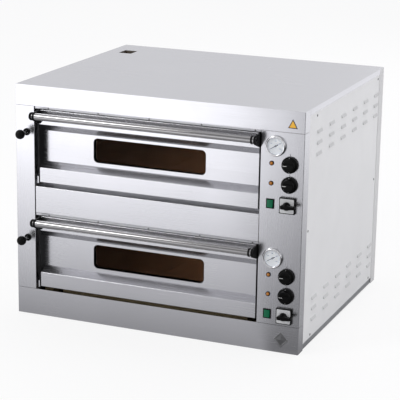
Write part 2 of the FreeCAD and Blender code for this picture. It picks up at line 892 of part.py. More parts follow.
# Rocker switches: a frame clipped into the panel and a rocker that tips about X.
frames = []
switches = []
for deck in DECKS:
    tag = deck.title()
    z = f"({DOOR_BOTTOM[deck]} + switch_height)"
    rim = slab(
        "RockerRim" + tag,
        (f"{ROCKER_X} - rocker_width / 2", f"{FRONT} - 3", f"{z} - rocker_height / 2"),
        (f"{ROCKER_X} + rocker_width / 2", FRONT, f"{z} + rocker_height / 2"),
    )
    housing = slab(
        "RockerHousing" + tag,
        (
            f"{ROCKER_X} - rocker_width / 2 + rocker_rim / 2",
            FRONT,
            f"{z} - rocker_height / 2 + rocker_rim / 2",
        ),
        (
            f"{ROCKER_X} + rocker_width / 2 - rocker_rim / 2",
            f"{FRONT} + 22",
            f"{z} + rocker_height / 2 - rocker_rim / 2",
        ),
    )
    well = slab(
        "RockerWell" + tag,
        (
            f"{ROCKER_X} - rocker_width / 2 + rocker_rim",
            f"{FRONT} - 4",
            f"{z} - rocker_height / 2 + rocker_rim",
        ),
        (
            f"{ROCKER_X} + rocker_width / 2 - rocker_rim",
            f"{FRONT} + 8",
            f"{z} + rocker_height / 2 - rocker_rim",
        ),
    )
    pin_hole = bar(
        "RockerPinHole" + tag,
        "x",
        (f"{ROCKER_X} - rocker_width / 2 + rocker_rim / 2", FRONT, z),
        "rocker_pin + shaft_clearance",
        "rocker_width - rocker_rim",
    )
    frames.append(drilled(
        "RockerFrame" + tag, fused("RockerShell" + tag, [rim, housing]), [well, pin_hole]
    ))
    half = "(rocker_height / 2 - rocker_rim - rocker_gap)"
    rocker = prism(
        "Rocker" + tag,
        "yz",
        [
            ("-5.6", f"-{half}"),
            ("2", f"-{half}"),
            ("4", "0"),
            ("2", half),
            ("-5.6", half),
            ("-4.2", "0"),
        ],
        "-rocker_width / 2 + rocker_rim + rocker_gap",
        "rocker_width - 2 * rocker_rim - 2 * rocker_gap",
    )
    rocker_pin = bar(
        "RockerPin" + tag,
        "x",
        ("-rocker_width / 2 + rocker_rim / 2 + 0.2", "0", "0"),
        "rocker_pin",
        "rocker_width - rocker_rim - 0.4",
    )
    tipped = fused("RockerTipped" + tag, [rocker, rocker_pin])
    tipped.Placement.Rotation = FreeCAD.Rotation(Vector(1, 0, 0), -SIZES["rocker_tilt"])
    place(tipped, (ROCKER_X, FRONT, z))
    node(tipped, deck + "_power_rocker")

    plate = slab(
        "SwitchPlate" + tag,
        (
            f"{SWITCH_X} - main_switch_size / 2",
            f"{FRONT} - main_switch_depth",
            f"{z} - main_switch_size / 2",
        ),
        (f"{SWITCH_X} + main_switch_size / 2", FRONT, f"{z} + main_switch_size / 2"),
    )
    neck = bar("SwitchNeck" + tag, "y", (SWITCH_X, FRONT, z), "lever_radius", "gear_gap + seam")
    gear = slab(
        "SwitchGear" + tag,
        (f"{SWITCH_X} - gear_size / 2", f"{FRONT} + gear_gap", f"{z} - gear_size / 2"),
        (
            f"{SWITCH_X} + gear_size / 2",
            f"{FRONT} + gear_gap + gear_depth",
            f"{z} + gear_size / 2",
        ),
    )
    spindle = bar(
        "SwitchSpindle" + tag,
        "y",
        (SWITCH_X, f"{FRONT} - lever_reach + 6", z),
        "shaft_radius",
        "lever_reach - main_switch_depth",
    )
    switches.append(fused("MainSwitch" + tag, [plate, neck, gear, spindle]))
    boss = turned(
        "LeverBoss" + tag,
        [
            ("shaft_radius + shaft_clearance", "-main_switch_depth - 0.5"),
            ("lever_radius", "-main_switch_depth - 0.5"),
            ("lever_radius", "-main_switch_depth - 6"),
            ("lever_radius - 3", "-lever_reach + 8"),
            ("lever_radius - 5", "-lever_reach + 4"),
            ("0", "-lever_reach + 4"),
            ("0", "-lever_reach + 5.7"),
            ("shaft_radius + shaft_clearance", "-lever_reach + 5.7"),
        ],
        (SWITCH_X, FRONT, z),
    )
    grip_bar = prism(
        "LeverGrip" + tag,
        "xz",
        [
            ("-lever_tail", "-lever_width / 2 + 1"),
            ("-lever_tail", "lever_width / 2 - 1"),
            ("-lever_tail + 4", "lever_width / 2"),
            ("lever_radius", "lever_width / 2"),
            ("lever_length - 3", "lever_width / 2 - 2"),
            ("lever_length", "0"),
            ("lever_length - 3", "-lever_width / 2 + 2"),
            ("lever_radius", "-lever_width / 2"),
            ("-lever_tail + 4", "-lever_width / 2"),
        ],
        "-lever_reach",
        "14",
    )
    place(grip_bar, (SWITCH_X, FRONT, z))
    grip_bored = drilled("LeverGripBored" + tag, grip_bar, [bar(
        "LeverBore" + tag,
        "y",
        (SWITCH_X, f"{FRONT} - lever_reach + 5.7", z),
        "shaft_radius + shaft_clearance",
        "lever_reach",
    )])
    node(fused("Lever" + tag, [boss, grip_bored]), deck + "_main_switch_lever")
node(group("RockerFrames", frames), "rocker_frames")
node(group("MainSwitches", switches), "main_switches")

# ---------------------------------------------------------------- chambers and hearths

LAMP_Y = f"(({CHAMBER_FRONT} + {CHAMBER_BACK}) / 2)"
ELEMENT_LEGS = 6
ELEMENT_PITCH = f"(({CHAMBER_WIDTH} - 2 * element_margin) / {ELEMENT_LEGS - 1})"

stones = []
elements = []
lamps = []
for deck in DECKS:
    tag = deck.title()
    bottom = DOOR_BOTTOM[deck]
    floor = f"({bottom} + chamber_floor)"
    roof = f"({floor} + {CHAMBER_HEIGHT})"
    hearth = f"({bottom} + hearth_height)"
    shell = slab(
        "ChamberShell" + tag,
        (f"{CHAMBER_LEFT} - sheet", FLANGE_FACE, f"{floor} - sheet"),
        (f"{CHAMBER_RIGHT} + sheet", f"{CHAMBER_BACK} + sheet", f"{roof} + sheet"),
    )
    flange = slab(
        "ChamberFlange" + tag,
        (f"{POST_EDGE} - flange_lap", FLANGE_FACE, f"{bottom} - flange_below"),
        (f"{CONTROL_EDGE} - seam", CHAMBER_FRONT, f"{bottom} + {LINTEL_BOTTOM} + flange_above"),
    )
    hollow = slab(
        "ChamberHollow" + tag,
        (CHAMBER_LEFT, CHAMBER_FRONT, floor),
        (CHAMBER_RIGHT, CHAMBER_BACK, roof),
    )
    mouth = slab(
        "ChamberMouth" + tag,
        (CHAMBER_LEFT, f"{FLANGE_FACE} - seam", f"{hearth} - seam"),
        (CHAMBER_RIGHT, f"{CHAMBER_FRONT} + seam", roof),
    )
    port = slab(
        "ChamberPort" + tag,
        (
            f"{CHAMBER_LEFT} - 2 * sheet",
            f"{DUCT_BACK} - port_length - port_margin",
            f"{bottom} + {PORT_HEIGHT} - port_height / 2",
        ),
        (
            f"{CHAMBER_LEFT} + sheet",
            f"{DUCT_BACK} - port_margin",
            f"{bottom} + {PORT_HEIGHT} + port_height / 2",
        ),
    )
    lamp_z = f"({roof} - lamp_drop)"
    lamp_hole = bar(
        "LampHole" + tag,
        "x",
        (f"{CHAMBER_RIGHT} - seam", LAMP_Y, lamp_z),
        "lamp_radius - lamp_step",
        "2 * seam + sheet",
    )
    box = drilled(
        "ChamberBox" + tag,
        fused("ChamberSkin" + tag, [shell, flange]),
        [hollow, mouth, port, lamp_hole],
    )
    ledge_top = f"({hearth} - stone_thickness)"
    ledges = [
        slab(
            "LeftLedge" + tag,
            (CHAMBER_LEFT, CHAMBER_FRONT, f"{ledge_top} - ledge_thickness"),
            (f"{CHAMBER_LEFT} + ledge_width", CHAMBER_BACK, ledge_top),
        ),
        slab(
            "RightLedge" + tag,
            (f"{CHAMBER_RIGHT} - ledge_width", CHAMBER_FRONT, f"{ledge_top} - ledge_thickness"),
            (CHAMBER_RIGHT, CHAMBER_BACK, ledge_top),
        ),
        slab(
            "MiddleLedge" + tag,
            (
                f"({CHAMBER_LEFT} + {CHAMBER_RIGHT}) / 2 - ledge_width",
                CHAMBER_FRONT,
                f"{ledge_top} - ledge_thickness",
            ),
            (f"({CHAMBER_LEFT} + {CHAMBER_RIGHT}) / 2 + ledge_width", CHAMBER_BACK, ledge_top),
        ),
    ]
    node(fused("Chamber" + tag, [box] + ledges), deck + "_chamber")

    stone_width = f"(({CHAMBER_WIDTH} - 3 * stone_gap) / 2)"
    for index in range(2):
        stones.append(block(
            f"Stone{tag}{index}",
            (
                f"{CHAMBER_LEFT} + stone_gap + {index} * ({stone_width} + stone_gap)",
                f"{CHAMBER_FRONT} + stone_gap",
                ledge_top,
            ),
            (stone_width, f"{CHAMBER_DEPTH} - 2 * stone_gap", "stone_thickness"),
        ))

    # Sheathed heating elements: each is one rod bent to and fro between the front and the rear.
    for level, z in (
        ("Bottom", f"({bottom} + element_drop)"),
        ("Top", f"({roof} - element_rise)"),
    ):
        rods = []
        front_y = f"({CHAMBER_FRONT} + element_inset)"
        rear_y = f"({CHAMBER_BACK} - element_inset)"
        for leg in range(ELEMENT_LEGS):
            x = f"({CHAMBER_LEFT} + element_margin + {leg} * {ELEMENT_PITCH})"
            end_leg = leg in (0, ELEMENT_LEGS - 1)
            stop = CHAMBER_BACK if end_leg else rear_y
            rods.append(bar(
                f"Leg{level}{tag}{leg}", "y", (x, front_y, z), "element_radius", f"{stop} - {front_y}"
            ))
            turn_y = front_y if leg % 2 == 0 else rear_y
            if leg < ELEMENT_LEGS - 1:
                rods.append(bar(
                    f"Bend{level}{tag}{leg}", "x", (x, turn_y, z), "element_radius", ELEMENT_PITCH
                ))
            for end, y in (("Front", front_y), ("Rear", rear_y)):
                if end == "Front" or not end_leg:
                    corner = doc.addObject("Part::Sphere", f"Corner{level}{tag}{leg}{end}")
                    corner.setExpression("Radius", bound("element_radius"))
                    place(corner, (x, y, z))
                    rods.append(corner)
        elements.append(fused(f"Element{level}{tag}", rods))

    lamps.append(turned(
        "OvenLamp" + tag,
        [
            ("0", "-lamp_reach"),
            ("lamp_radius - 10", "-lamp_reach + 1.5"),
            ("lamp_radius - 2", "-lamp_reach + 8"),
            ("lamp_radius", "-2"),
            ("lamp_radius", "0"),
            ("lamp_radius - lamp_step - 1", "0"),
            ("lamp_radius - lamp_step - 1", "lamp_tail"),
            ("0", "lamp_tail"),
        ],
        (CHAMBER_RIGHT, LAMP_Y, lamp_z),
        axis="x",
    ))
node(group("Stones", stones), "hearth_stones")
node(group("Elements", elements), "heating_elements")
node(group("OvenLamps", lamps), "oven_lamps")

# ---------------------------------------------------------------- lintels, rails, insulation

lintels = []
rails = []
wool = []
for deck in DECKS:
    tag = deck.title()
    bottom = DOOR_BOTTOM[deck]
    lintel_face = f"{FRONT} + lintel_setback + sheet"
    under = f"{bottom} + {LINTEL_BOTTOM}"
    lintels.append(folded(
        "Lintel" + tag,
        "yz",
        [
            (lintel_face, f"{under} + lintel_height"),
            (lintel_face, f"{under} + sheet"),
            (FLANGE_FACE, f"{under} + sheet"),
        ],
        MIDDLE_LEFT,
        f"{MIDDLE_RIGHT} - {MIDDLE_LEFT}",
        side=1,
    ))
    rail_top = f"({bottom} + chamber_floor - sheet)"
    for side, corner, direction in (
        ("Left", f"({CHAMBER_LEFT} - sheet)", -1),
        ("Right", f"({CHAMBER_RIGHT} + sheet)", 1),
    ):
        rails.append(folded(
            f"Rail{side}{tag}",
            "xz",
            [
                (f"{corner} - {direction} * 25", f"{rail_top} - sheet"),
                (f"{corner}", f"{rail_top} - sheet"),
                (f"{corner}", f"{rail_top} - 28"),
            ],
            f"{CHAMBER_FRONT} + seam",
            f"{BACK} - sheet - {CHAMBER_FRONT} - seam",
            side=direction,
        ))
node(group("Lintels", lintels), "door_lintels")
node(group("Rails", rails), "deck_rails")

WOOL_FRONT = f"({CHAMBER_FRONT} + 4)"
WOOL_LOW = f"({LOWER_BOTTOM} + chamber_floor - sheet)"
UPPER_FLOOR = f"({DOOR_BOTTOM['upper']} + chamber_floor - sheet)"
LOWER_ROOF = f"({LOWER_BOTTOM} + chamber_floor + {CHAMBER_HEIGHT} + sheet)"
UPPER_ROOF = f"({DOOR_BOTTOM['upper']} + chamber_floor + {CHAMBER_HEIGHT} + sheet)"
WOOL_LEFT = f"({CHAMBER_LEFT} + 30)"
WOOL_RIGHT = f"({CHAMBER_RIGHT} - 30)"
wool_layers = {
    "Floor": ("sheet", f"{WOOL_LOW} - 3"),
    "Middle": (LOWER_ROOF, f"{UPPER_FLOOR} - 3"),
    "Roof": (UPPER_ROOF, f"{UPPER_ROOF} + 2 * wool"),
}
for name, (low, high) in wool_layers.items():
    wool.append(slab("Wool" + name, (WOOL_LEFT, WOOL_FRONT, low), (WOOL_RIGHT, CHAMBER_BACK, high)))
wool.append(slab(
    "WoolLeft",
    (f"{CHAMBER_LEFT} - sheet - 3 - 0.8 * wool", WOOL_FRONT, "sheet"),
    (f"{CHAMBER_LEFT} - sheet - 3", f"{DUCT_FRONT} - gate_lead - 70", UPPER_ROOF),
))
lamp_spaces = []
for deck in DECKS:
    lamp_spaces.append(bar(
        "LampSpace" + deck.title(),
        "x",
        (
            CHAMBER_RIGHT,
            LAMP_Y,
            f"{DOOR_BOTTOM[deck]} + chamber_floor + {CHAMBER_HEIGHT} - lamp_drop",
        ),
        "lamp_radius",
        "2 * wool",
    ))
wool_right = slab(
    "WoolRightSlab",
    (f"{CHAMBER_RIGHT} + sheet + 3", f"{FRONT} + 140", "sheet"),
    (f"{CHAMBER_RIGHT} + sheet + 3 + wool", CHAMBER_BACK, UPPER_ROOF),
)
wool.append(drilled("WoolRight", wool_right, lamp_spaces))
wool.append(slab(
    "WoolRear",
    (WOOL_LEFT, f"{CHAMBER_BACK} + sheet", "sheet"),
    (WOOL_RIGHT, f"{CHAMBER_BACK} + sheet + 0.9 * wool", UPPER_ROOF),
))
node(group("Wool", wool), "insulation_blankets")

# ---------------------------------------------------------------- steam duct and dampers

DUCT_RIGHT = f"({DUCT_LEFT} + outlet_width)"
DUCT_BOTTOM = f"({LOWER_BOTTOM} + {PORT_HEIGHT} - port_height)"
duct_outer = slab(
    "DuctOuter",
    (f"{DUCT_LEFT} - duct_wall", f"{DUCT_FRONT} - duct_wall", f"{DUCT_BOTTOM} - duct_wall"),
    (f"{DUCT_RIGHT} + duct_wall", f"{DUCT_BACK} + duct_wall", COVER_UNDER),
)
duct_inner = slab(
    "DuctInner", (DUCT_LEFT, DUCT_FRONT, DUCT_BOTTOM), (DUCT_RIGHT, DUCT_BACK, "height")
)
duct_cuts = [duct_inner]
for deck in DECKS:
    duct_cuts.append(slab(
        "DuctPort" + deck.title(),
        (
            f"{DUCT_RIGHT} - seam",
            f"{DUCT_BACK} - port_length - port_margin",
            f"{DOOR_BOTTOM[deck]} + {PORT_HEIGHT} - port_height / 2",
        ),
        (
            f"{DUCT_RIGHT} + duct_wall + seam",
            f"{DUCT_BACK} - port_margin",
            f"{DOOR_BOTTOM[deck]} + {PORT_HEIGHT} + port_height / 2",
        ),
    ))
node(drilled("SteamDuct", duct_outer, duct_cuts), "steam_duct")

for deck in DECKS:
    tag = deck.title()
    z = f"({DOOR_BOTTOM[deck]} + {PORT_HEIGHT})"
    arm_front = f"({DUCT_FRONT} - gate_lead)"
    rod_start = f"({FRONT} - damper_reach + damper_ball / 2)"
    rod = bar(
        "DamperBar" + tag,
        "y",
        (DAMPER_X, rod_start, z),
        "damper_radius",
        f"{arm_front} + seam - {rod_start}",
    )
    arm = slab(
        "DamperArm" + tag,
        (f"{DAMPER_X} - 6", arm_front, f"{z} - 8"),
        (f"{GATE_MIDDLE} + gate_thickness / 2", f"{arm_front} + 3", f"{z} + 8"),
    )
    gate = slab(
        "DamperGate" + tag,
        (f"{GATE_MIDDLE} - gate_thickness / 2", arm_front, f"{z} - gate_height / 2"),
        (f"{GATE_MIDDLE} + gate_thickness / 2", DUCT_BACK, f"{z} + gate_height / 2"),
    )
    node(fused("DamperRod" + tag, [rod, arm, gate]), deck + "_damper_rod")
    ball = doc.addObject("Part::Sphere", "DamperBall" + tag)
    ball.setExpression("Radius", bound("damper_ball"))
    place(ball, (DAMPER_X, f"{FRONT} - damper_reach", z))
    neck = bar(
        "DamperNeck" + tag,
        "y",
        (DAMPER_X, f"{FRONT} - damper_reach + damper_ball / 2", z),
        "damper_radius + 3",
        "damper_ball / 2 + 4",
    )
    bore = bar("DamperBore" + tag, "y", (DAMPER_X, rod_start, z), "damper_radius", "2 * damper_ball")
    ball_neck = fused("DamperBallNeck" + tag, [ball, neck])
    node(drilled("DamperKnob" + tag, ball_neck, [bore]), deck + "_damper_knob")

# ---------------------------------------------------------------- doors

hinges = []
for deck in DECKS:
    tag = deck.title()
    bottom = DOOR_BOTTOM[deck]
    top = f"({bottom} + {DOOR_HEIGHT})"
    skin_left = f"({DOOR_LEFT} + end_plate)"
    skin_length = f"{DOOR_WIDTH} - 2 * end_plate"
    face = f"({DOOR_FACE} + sheet)"
    recess = f"({DOOR_FACE} + recess_depth + sheet)"
    outer = folded(
        "DoorSheet" + tag,
        "yz",
        [
            (f"{DOOR_FACE} + door_flange", f"{top} - sheet"),
            (face, f"{top} - sheet"),
            (face, f"{top} - flat_band"),
            (recess, f"{top} - recess_drop"),
            (recess, f"{bottom} + recess_bottom"),
            (face, f"{bottom} + flat_band"),
            (face, f"{bottom} + sheet"),
            (f"{DOOR_FACE} + door_flange", f"{bottom} + sheet"),
        ],
        skin_left,
        skin_length,
    )
    window_left = f"({DOOR_LEFT} + window_left_margin)"
    window_width = f"({DOOR_WIDTH} - window_left_margin - window_right_margin)"
    window_low = f"({bottom} + recess_bottom + window_low_margin)"
    window_height = f"({top} - recess_drop - window_high_margin - {window_low})"
    window = rounded_block(
        "WindowCut" + tag,
        (window_left, f"({DOOR_FACE} + recess_depth - 3)", window_low),
        (window_width, "sheet + 6", window_height),
        "window_corner",
    )
    node(drilled("DoorSkin" + tag, outer, [window]), deck + "_door_skin")

    inner_top = f"{top} - 2 * sheet - 0.2"
    inner_bottom = f"{bottom} + 2 * sheet + 0.2"
    inner_face = f"{DOOR_BACK} - sheet"
    liner = folded(
        "DoorLiner" + tag,
        "yz",
        [
            (f"{DOOR_FACE} + door_flange - 6", inner_top),
            (inner_face, inner_top),
            (inner_face, inner_bottom),
            (f"{DOOR_FACE} + door_flange - 6", inner_bottom),
        ],
        skin_left,
        skin_length,
        side=-1,
    )
    inner_window = rounded_block(
        "InnerWindowCut" + tag,
        (window_left, f"({DOOR_BACK} - sheet - 3)", window_low),
        (window_width, "sheet + 6", window_height),
        "window_corner",
    )
    node(drilled("DoorInner" + tag, liner, [inner_window]), deck + "_door_inner_panel")

    panes = []
    for name, y in (
        ("Outer", recess),
        ("Inner", f"{DOOR_BACK} - sheet - glass_thickness"),
    ):
        panes.append(block(
            f"{name}Pane{tag}",
            (f"{window_left} - glass_overlap", y, f"{window_low} - glass_overlap"),
            (
                f"{window_width} + 2 * glass_overlap",
                "glass_thickness",
                f"{window_height} + 2 * glass_overlap",
            ),
        ))
    node(group("Panes" + tag, panes), deck + "_window_panes")

    # The seal is a flat ring round the chamber's mouth, and the closed door lies against it.
    seal_low_z = f"({bottom} + hearth_height - seal_margin)"
    seal_high_z = f"({bottom} + chamber_floor + {CHAMBER_HEIGHT} + seal_margin)"
    seal_left = f"({CHAMBER_LEFT} - seal_margin)"
    seal_right = f"({CHAMBER_RIGHT} + seal_margin)"
    seal_outer = slab(
        "SealOuter" + tag,
        (f"{seal_left} - seal_width", SEAL_FACE, f"{seal_low_z} - seal_width"),
        (f"{seal_right} + seal_width", FLANGE_FACE, f"{seal_high_z} + seal_width"),
    )
    seal_inner = slab(
        "SealInner" + tag,
        (seal_left, f"{SEAL_FACE} - seam", seal_low_z),
        (seal_right, f"{FLANGE_FACE} + seam", seal_high_z),
    )
    node(drilled("Seal" + tag, seal_outer, [seal_inner]), deck + "_door_seal")

    pivot_z = f"({bottom} + pivot_height)"
    ends = []
    for side, x, pin_x in (
        ("Left", DOOR_LEFT, f"({DOOR_LEFT} - pin_length)"),
        ("Right", f"({DOOR_RIGHT} - end_plate)", DOOR_RIGHT),
    ):
        plate = block(
            f"EndPlate{side}{tag}", (x, DOOR_FACE, bottom), ("end_plate", "door_depth", DOOR_HEIGHT)
        )
        pin = bar(f"Pin{side}{tag}", "x", (pin_x, PIVOT_Y, pivot_z), "pin_radius", "pin_length")
        ends.append(fused(f"DoorEnd{side}{tag}", [plate, pin]))
    node(group("DoorEnds" + tag, ends), deck + "_door_ends")

    for side, x in (
        ("Left", f"({DOOR_LEFT} - hinge_gap - hinge_plate)"),
        ("Right", f"({CONTROL_EDGE} + sheet)"),
    ):
        plate = block(
            f"HingePlate{side}{tag}",
            (x, f"{FRONT} + 3", f"{bottom} - pivot_height / 2"),
            ("hinge_plate", f"{FLANGE_FACE} - {FRONT} - 3", "hinge_height"),
        )
        hole = bar(
            f"HingeHole{side}{tag}",
            "x",
            (f"{x} - seam", PIVOT_Y, pivot_z),
            "pin_radius + pin_clearance",
            "hinge_plate + 2 * seam",
        )
        hinges.append(drilled(f"Hinge{side}{tag}", plate, [hole]))

    # Handle: a steel tube carried by a black bracket near each end of the door.
    handle_z = f"({top} - handle_drop)"
    tube_left = f"({DOOR_LEFT} - handle_overhang)"
    tube_right = f"({DOOR_RIGHT} + door_right_gap / 2 - bracket_thickness)"
    tube_length = f"({tube_right} - {tube_left})"
    tube_outer = bar(
        "TubeOuter" + tag, "x", (tube_left, HANDLE_Y, handle_z), "handle_radius", tube_length
    )
    tube_inner = bar(
        "TubeInner" + tag,
        "x",
        (f"{tube_left} - seam", HANDLE_Y, handle_z),
        "handle_radius - handle_wall",
        f"{tube_length} + 2 * seam",
    )
    node(drilled("HandleTube" + tag, tube_outer, [tube_inner]), deck + "_handle_tube")

    hold = "(handle_radius + bracket_rim)"
    bracket_outline = [
        (DOOR_FACE, top),
        (DOOR_FACE, f"{top} - flat_band + 2"),
        (f"{HANDLE_Y} - handle_radius / 2", f"{handle_z} - {hold}"),
        (f"{HANDLE_Y} - handle_radius / 2", f"{handle_z} + {hold}"),
    ]
    mouldings = []
    for side, x in (("Left", DOOR_LEFT), ("Right", tube_right)):
        wing = prism(f"BracketWing{side}{tag}", "yz", bracket_outline, x, "bracket_thickness")
        eye = bar(f"BracketEye{side}{tag}", "x", (x, HANDLE_Y, handle_z), hold, "bracket_thickness")
        whole = fused(f"Bracket{side}{tag}", [wing, eye])
        if side == "Left":
            through = bar(
                f"BracketBore{tag}",
                "x",
                (f"{x} - seam", HANDLE_Y, handle_z),
                "handle_radius",
                "bracket_thickness + 2 * seam",
            )
            whole = drilled(f"BoredBracket{tag}", whole, [through])
        mouldings.append(whole)
    cap_rim = "(handle_radius + cap_rim)"
    mouldings.append(turned(
        "HandleCap" + tag,
        [
            ("0", "-cap_length"),
            (f"{cap_rim} - 5", "-cap_length + 0.8"),
            (f"{cap_rim} - 2", "-cap_length + 2.5"),
            (cap_rim, "-cap_length + 6"),
            (cap_rim, "0"),
            ("0", "0"),
        ],
        (tube_left, HANDLE_Y, handle_z),
        axis="x",
    ))
    collar_x = f"({tube_right} - collar_gap - collar_length)"
    collar = bar("Collar" + tag, "x", (collar_x, HANDLE_Y, handle_z), hold, "collar_length")
    collar_bore = bar(
        "CollarBore" + tag,
        "x",
        (f"{collar_x} - seam", HANDLE_Y, handle_z),
        "handle_radius",
        "collar_length + 2 * seam",
    )
    mouldings.append(drilled("HandleCollar" + tag, collar, [collar_bore]))
    node(group("HandleBrackets" + tag, mouldings), deck + "_handle_brackets")
node(group("Hinges", hinges), "hinge_brackets")

# ---------------------------------------------------------------- trim and fasteners

screws = []


def screw_head(name, where, turn, radius):
    """A low domed screw head on a face that the turn points away from."""
    head = turned(
        name,
        [
            ("0", "-screw_rise"),
            (f"0.55 * {radius}", "-0.85 * screw_rise"),
            (f"0.9 * {radius}", "-0.45 * screw_rise"),
            (radius, "0"),
            ("0", "0"),
        ],
        where,
    )
    head.Placement.Rotation = FreeCAD.Rotation(Vector(0, 0, 1), turn)
    return head


# Each row of side screws: its height, and how far its screws are from the front and from the back.
SIDE_SCREWS = [
    ("height - 31", "114", "62"),
    ("height / 2", "61", "60"),
    ("side_bottom + 9", "116", "74"),
]
for row, (z, from_front, from_back) in enumerate(SIDE_SCREWS):
    for end, y in (("Front", f"{FRONT} + {from_front}"), ("Rear", f"{BACK} - {from_back}")):
        right = (f"{RIGHT} - sheet", y, z)
        left = (f"{LEFT} + sheet", y, z)
        screws.append(screw_head(f"RightScrew{end}{row}", right, 90, "screw_radius"))
        screws.append(screw_head(f"LeftScrew{end}{row}", left, -90, "screw_radius"))
LINTEL_SCREWS = 5
LINTEL_SPAN = f"({DOOR_WIDTH} - lintel_screw_left - lintel_screw_right)"
for deck in DECKS:
    z = f"{DOOR_BOTTOM[deck]} + {LINTEL_BOTTOM} + lintel_height / 2"
    for index in range(LINTEL_SCREWS):
        x = f"{DOOR_LEFT} + lintel_screw_left + {index} * {LINTEL_SPAN} / {LINTEL_SCREWS - 1}"
        screws.append(screw_head(
            f"LintelScrew{deck.title()}{index}", (x, f"{FRONT} + lintel_setback", z), 0, "small_screw"
        ))
for index in range(4):
    x = f"{LEFT} + back_screw_side + {index % 2} * (width - 2 * back_screw_side)"
    z = f"back_screw_end + {index // 2} * (height - 2 * back_screw_end)"
    screws.append(screw_head(f"BackScrew{index}", (x, BACK, z), 180, "screw_radius"))
node(group("Screws", screws), "panel_screws")

badge_x = f"({RIGHT} - badge_inset)"
badge = prism(
    "Badge",
    "xz",
    [
        (f"{badge_x} - badge_width / 2", "badge_height"),
        (badge_x, "badge_height + badge_tall / 2"),
        (f"{badge_x} + badge_width / 2", "badge_height"),
        (badge_x, "badge_height - badge_tall / 2"),
    ],
    f"{FRONT} - label_thickness",
    "label_thickness",
)
node(badge, "emblem_plate")

sign_x = f"({RIGHT} - triangle_inset)"
sign_z = f"({FASCIA_BOTTOM} + triangle_rise)"
sign = prism(
    "Sign",
    "xz",
    [
        (f"{sign_x} - triangle_size / 2", sign_z),
        (f"{sign_x} + triangle_size / 2", sign_z),
        (sign_x, f"{sign_z} + 0.92 * triangle_size"),
    ],
    f"{FRONT} - label_thickness",
    "label_thickness",
)
node(sign, "triangle_sign")

gland = turned(
    "Gland",
    [
        ("5", "-12"),
        ("gland_radius - gland_step", "-12"),
        ("gland_radius - gland_step", "0"),
        ("gland_radius", "0"),
        ("gland_radius", "8"),
        ("gland_radius - 2", "9"),
        ("gland_radius - 2", "gland_reach - 5"),
        ("gland_radius - 6", "gland_reach"),
        ("5", "gland_reach"),
    ],
    (GLAND_X, BACK, "gland_height"),
)
node(gland, "cable_gland")

TERMINALS = 5
TERMINAL_PITCH = f"((terminal_width - 2 * terminal_wall) / {TERMINALS})"
terminal_left = f"({GLAND_X} - terminal_width / 2)"
terminal_front = f"({BACK} - sheet - terminal_depth)"
terminal_base = block(
    "TerminalBase",
    (terminal_left, terminal_front, "gland_height + terminal_rise"),
    ("terminal_width", "terminal_depth", "terminal_height"),
)
terminal_slots = []
for index in range(TERMINALS):
    terminal_slots.append(block(
        f"TerminalSlot{index}",
        (
            f"{terminal_left} + 1.5 * terminal_wall + {index} * {TERMINAL_PITCH}",
            f"{terminal_front} - seam",
            "gland_height + terminal_rise + terminal_height / 3",
        ),
        (f"{TERMINAL_PITCH} - terminal_wall", "terminal_depth / 2", "terminal_height / 3"),
    ))
node(drilled("Terminals", terminal_base, terminal_slots), "terminal_block")

# ---------------------------------------------------------------- build, check, write

doc.recompute()

faults = []
for thing in doc.Objects:
    if any(word in str(thing.State) for word in ("Invalid", "Error")):
        faults.append(f"{thing.Name}: {thing.State}")
for thing in NODES:
    if thing.Shape.isNull() or not thing.Shape.isValid() or not thing.Shape.Solids:
        faults.append(f"{thing.Label}: its shape is not sound")
if faults:
    raise RuntimeError("; ".join(faults))

os.makedirs("parts", exist_ok=True)
for thing in NODES:
    thing.Shape.exportStep(f"parts/{thing.Label}.step")
    box = thing.Shape.BoundBox
    print(
        f"{thing.Label}: {len(thing.Shape.Solids)} solid(s), "
        f"{box.XLength:.1f} x {box.YLength:.1f} x {box.ZLength:.1f} mm"
    )
print(len(NODES), "sub-parts written")
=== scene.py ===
# %% [markdown]
# # A pizza oven with two decks
#
# The oven's sizes, holes and hinges already exist as a packed CAD model. This lesson gives it its looks: brushed
# stainless sheet, black mouldings, glass, stone and print. The first cell loads that model as a fixed frame. Every
# CAD piece, or node, keeps its place in its vertices, and its object sits at the origin.

# %% Load the frame
import json
import math

import bmesh
import bpy
from mathutils import Matrix, Vector

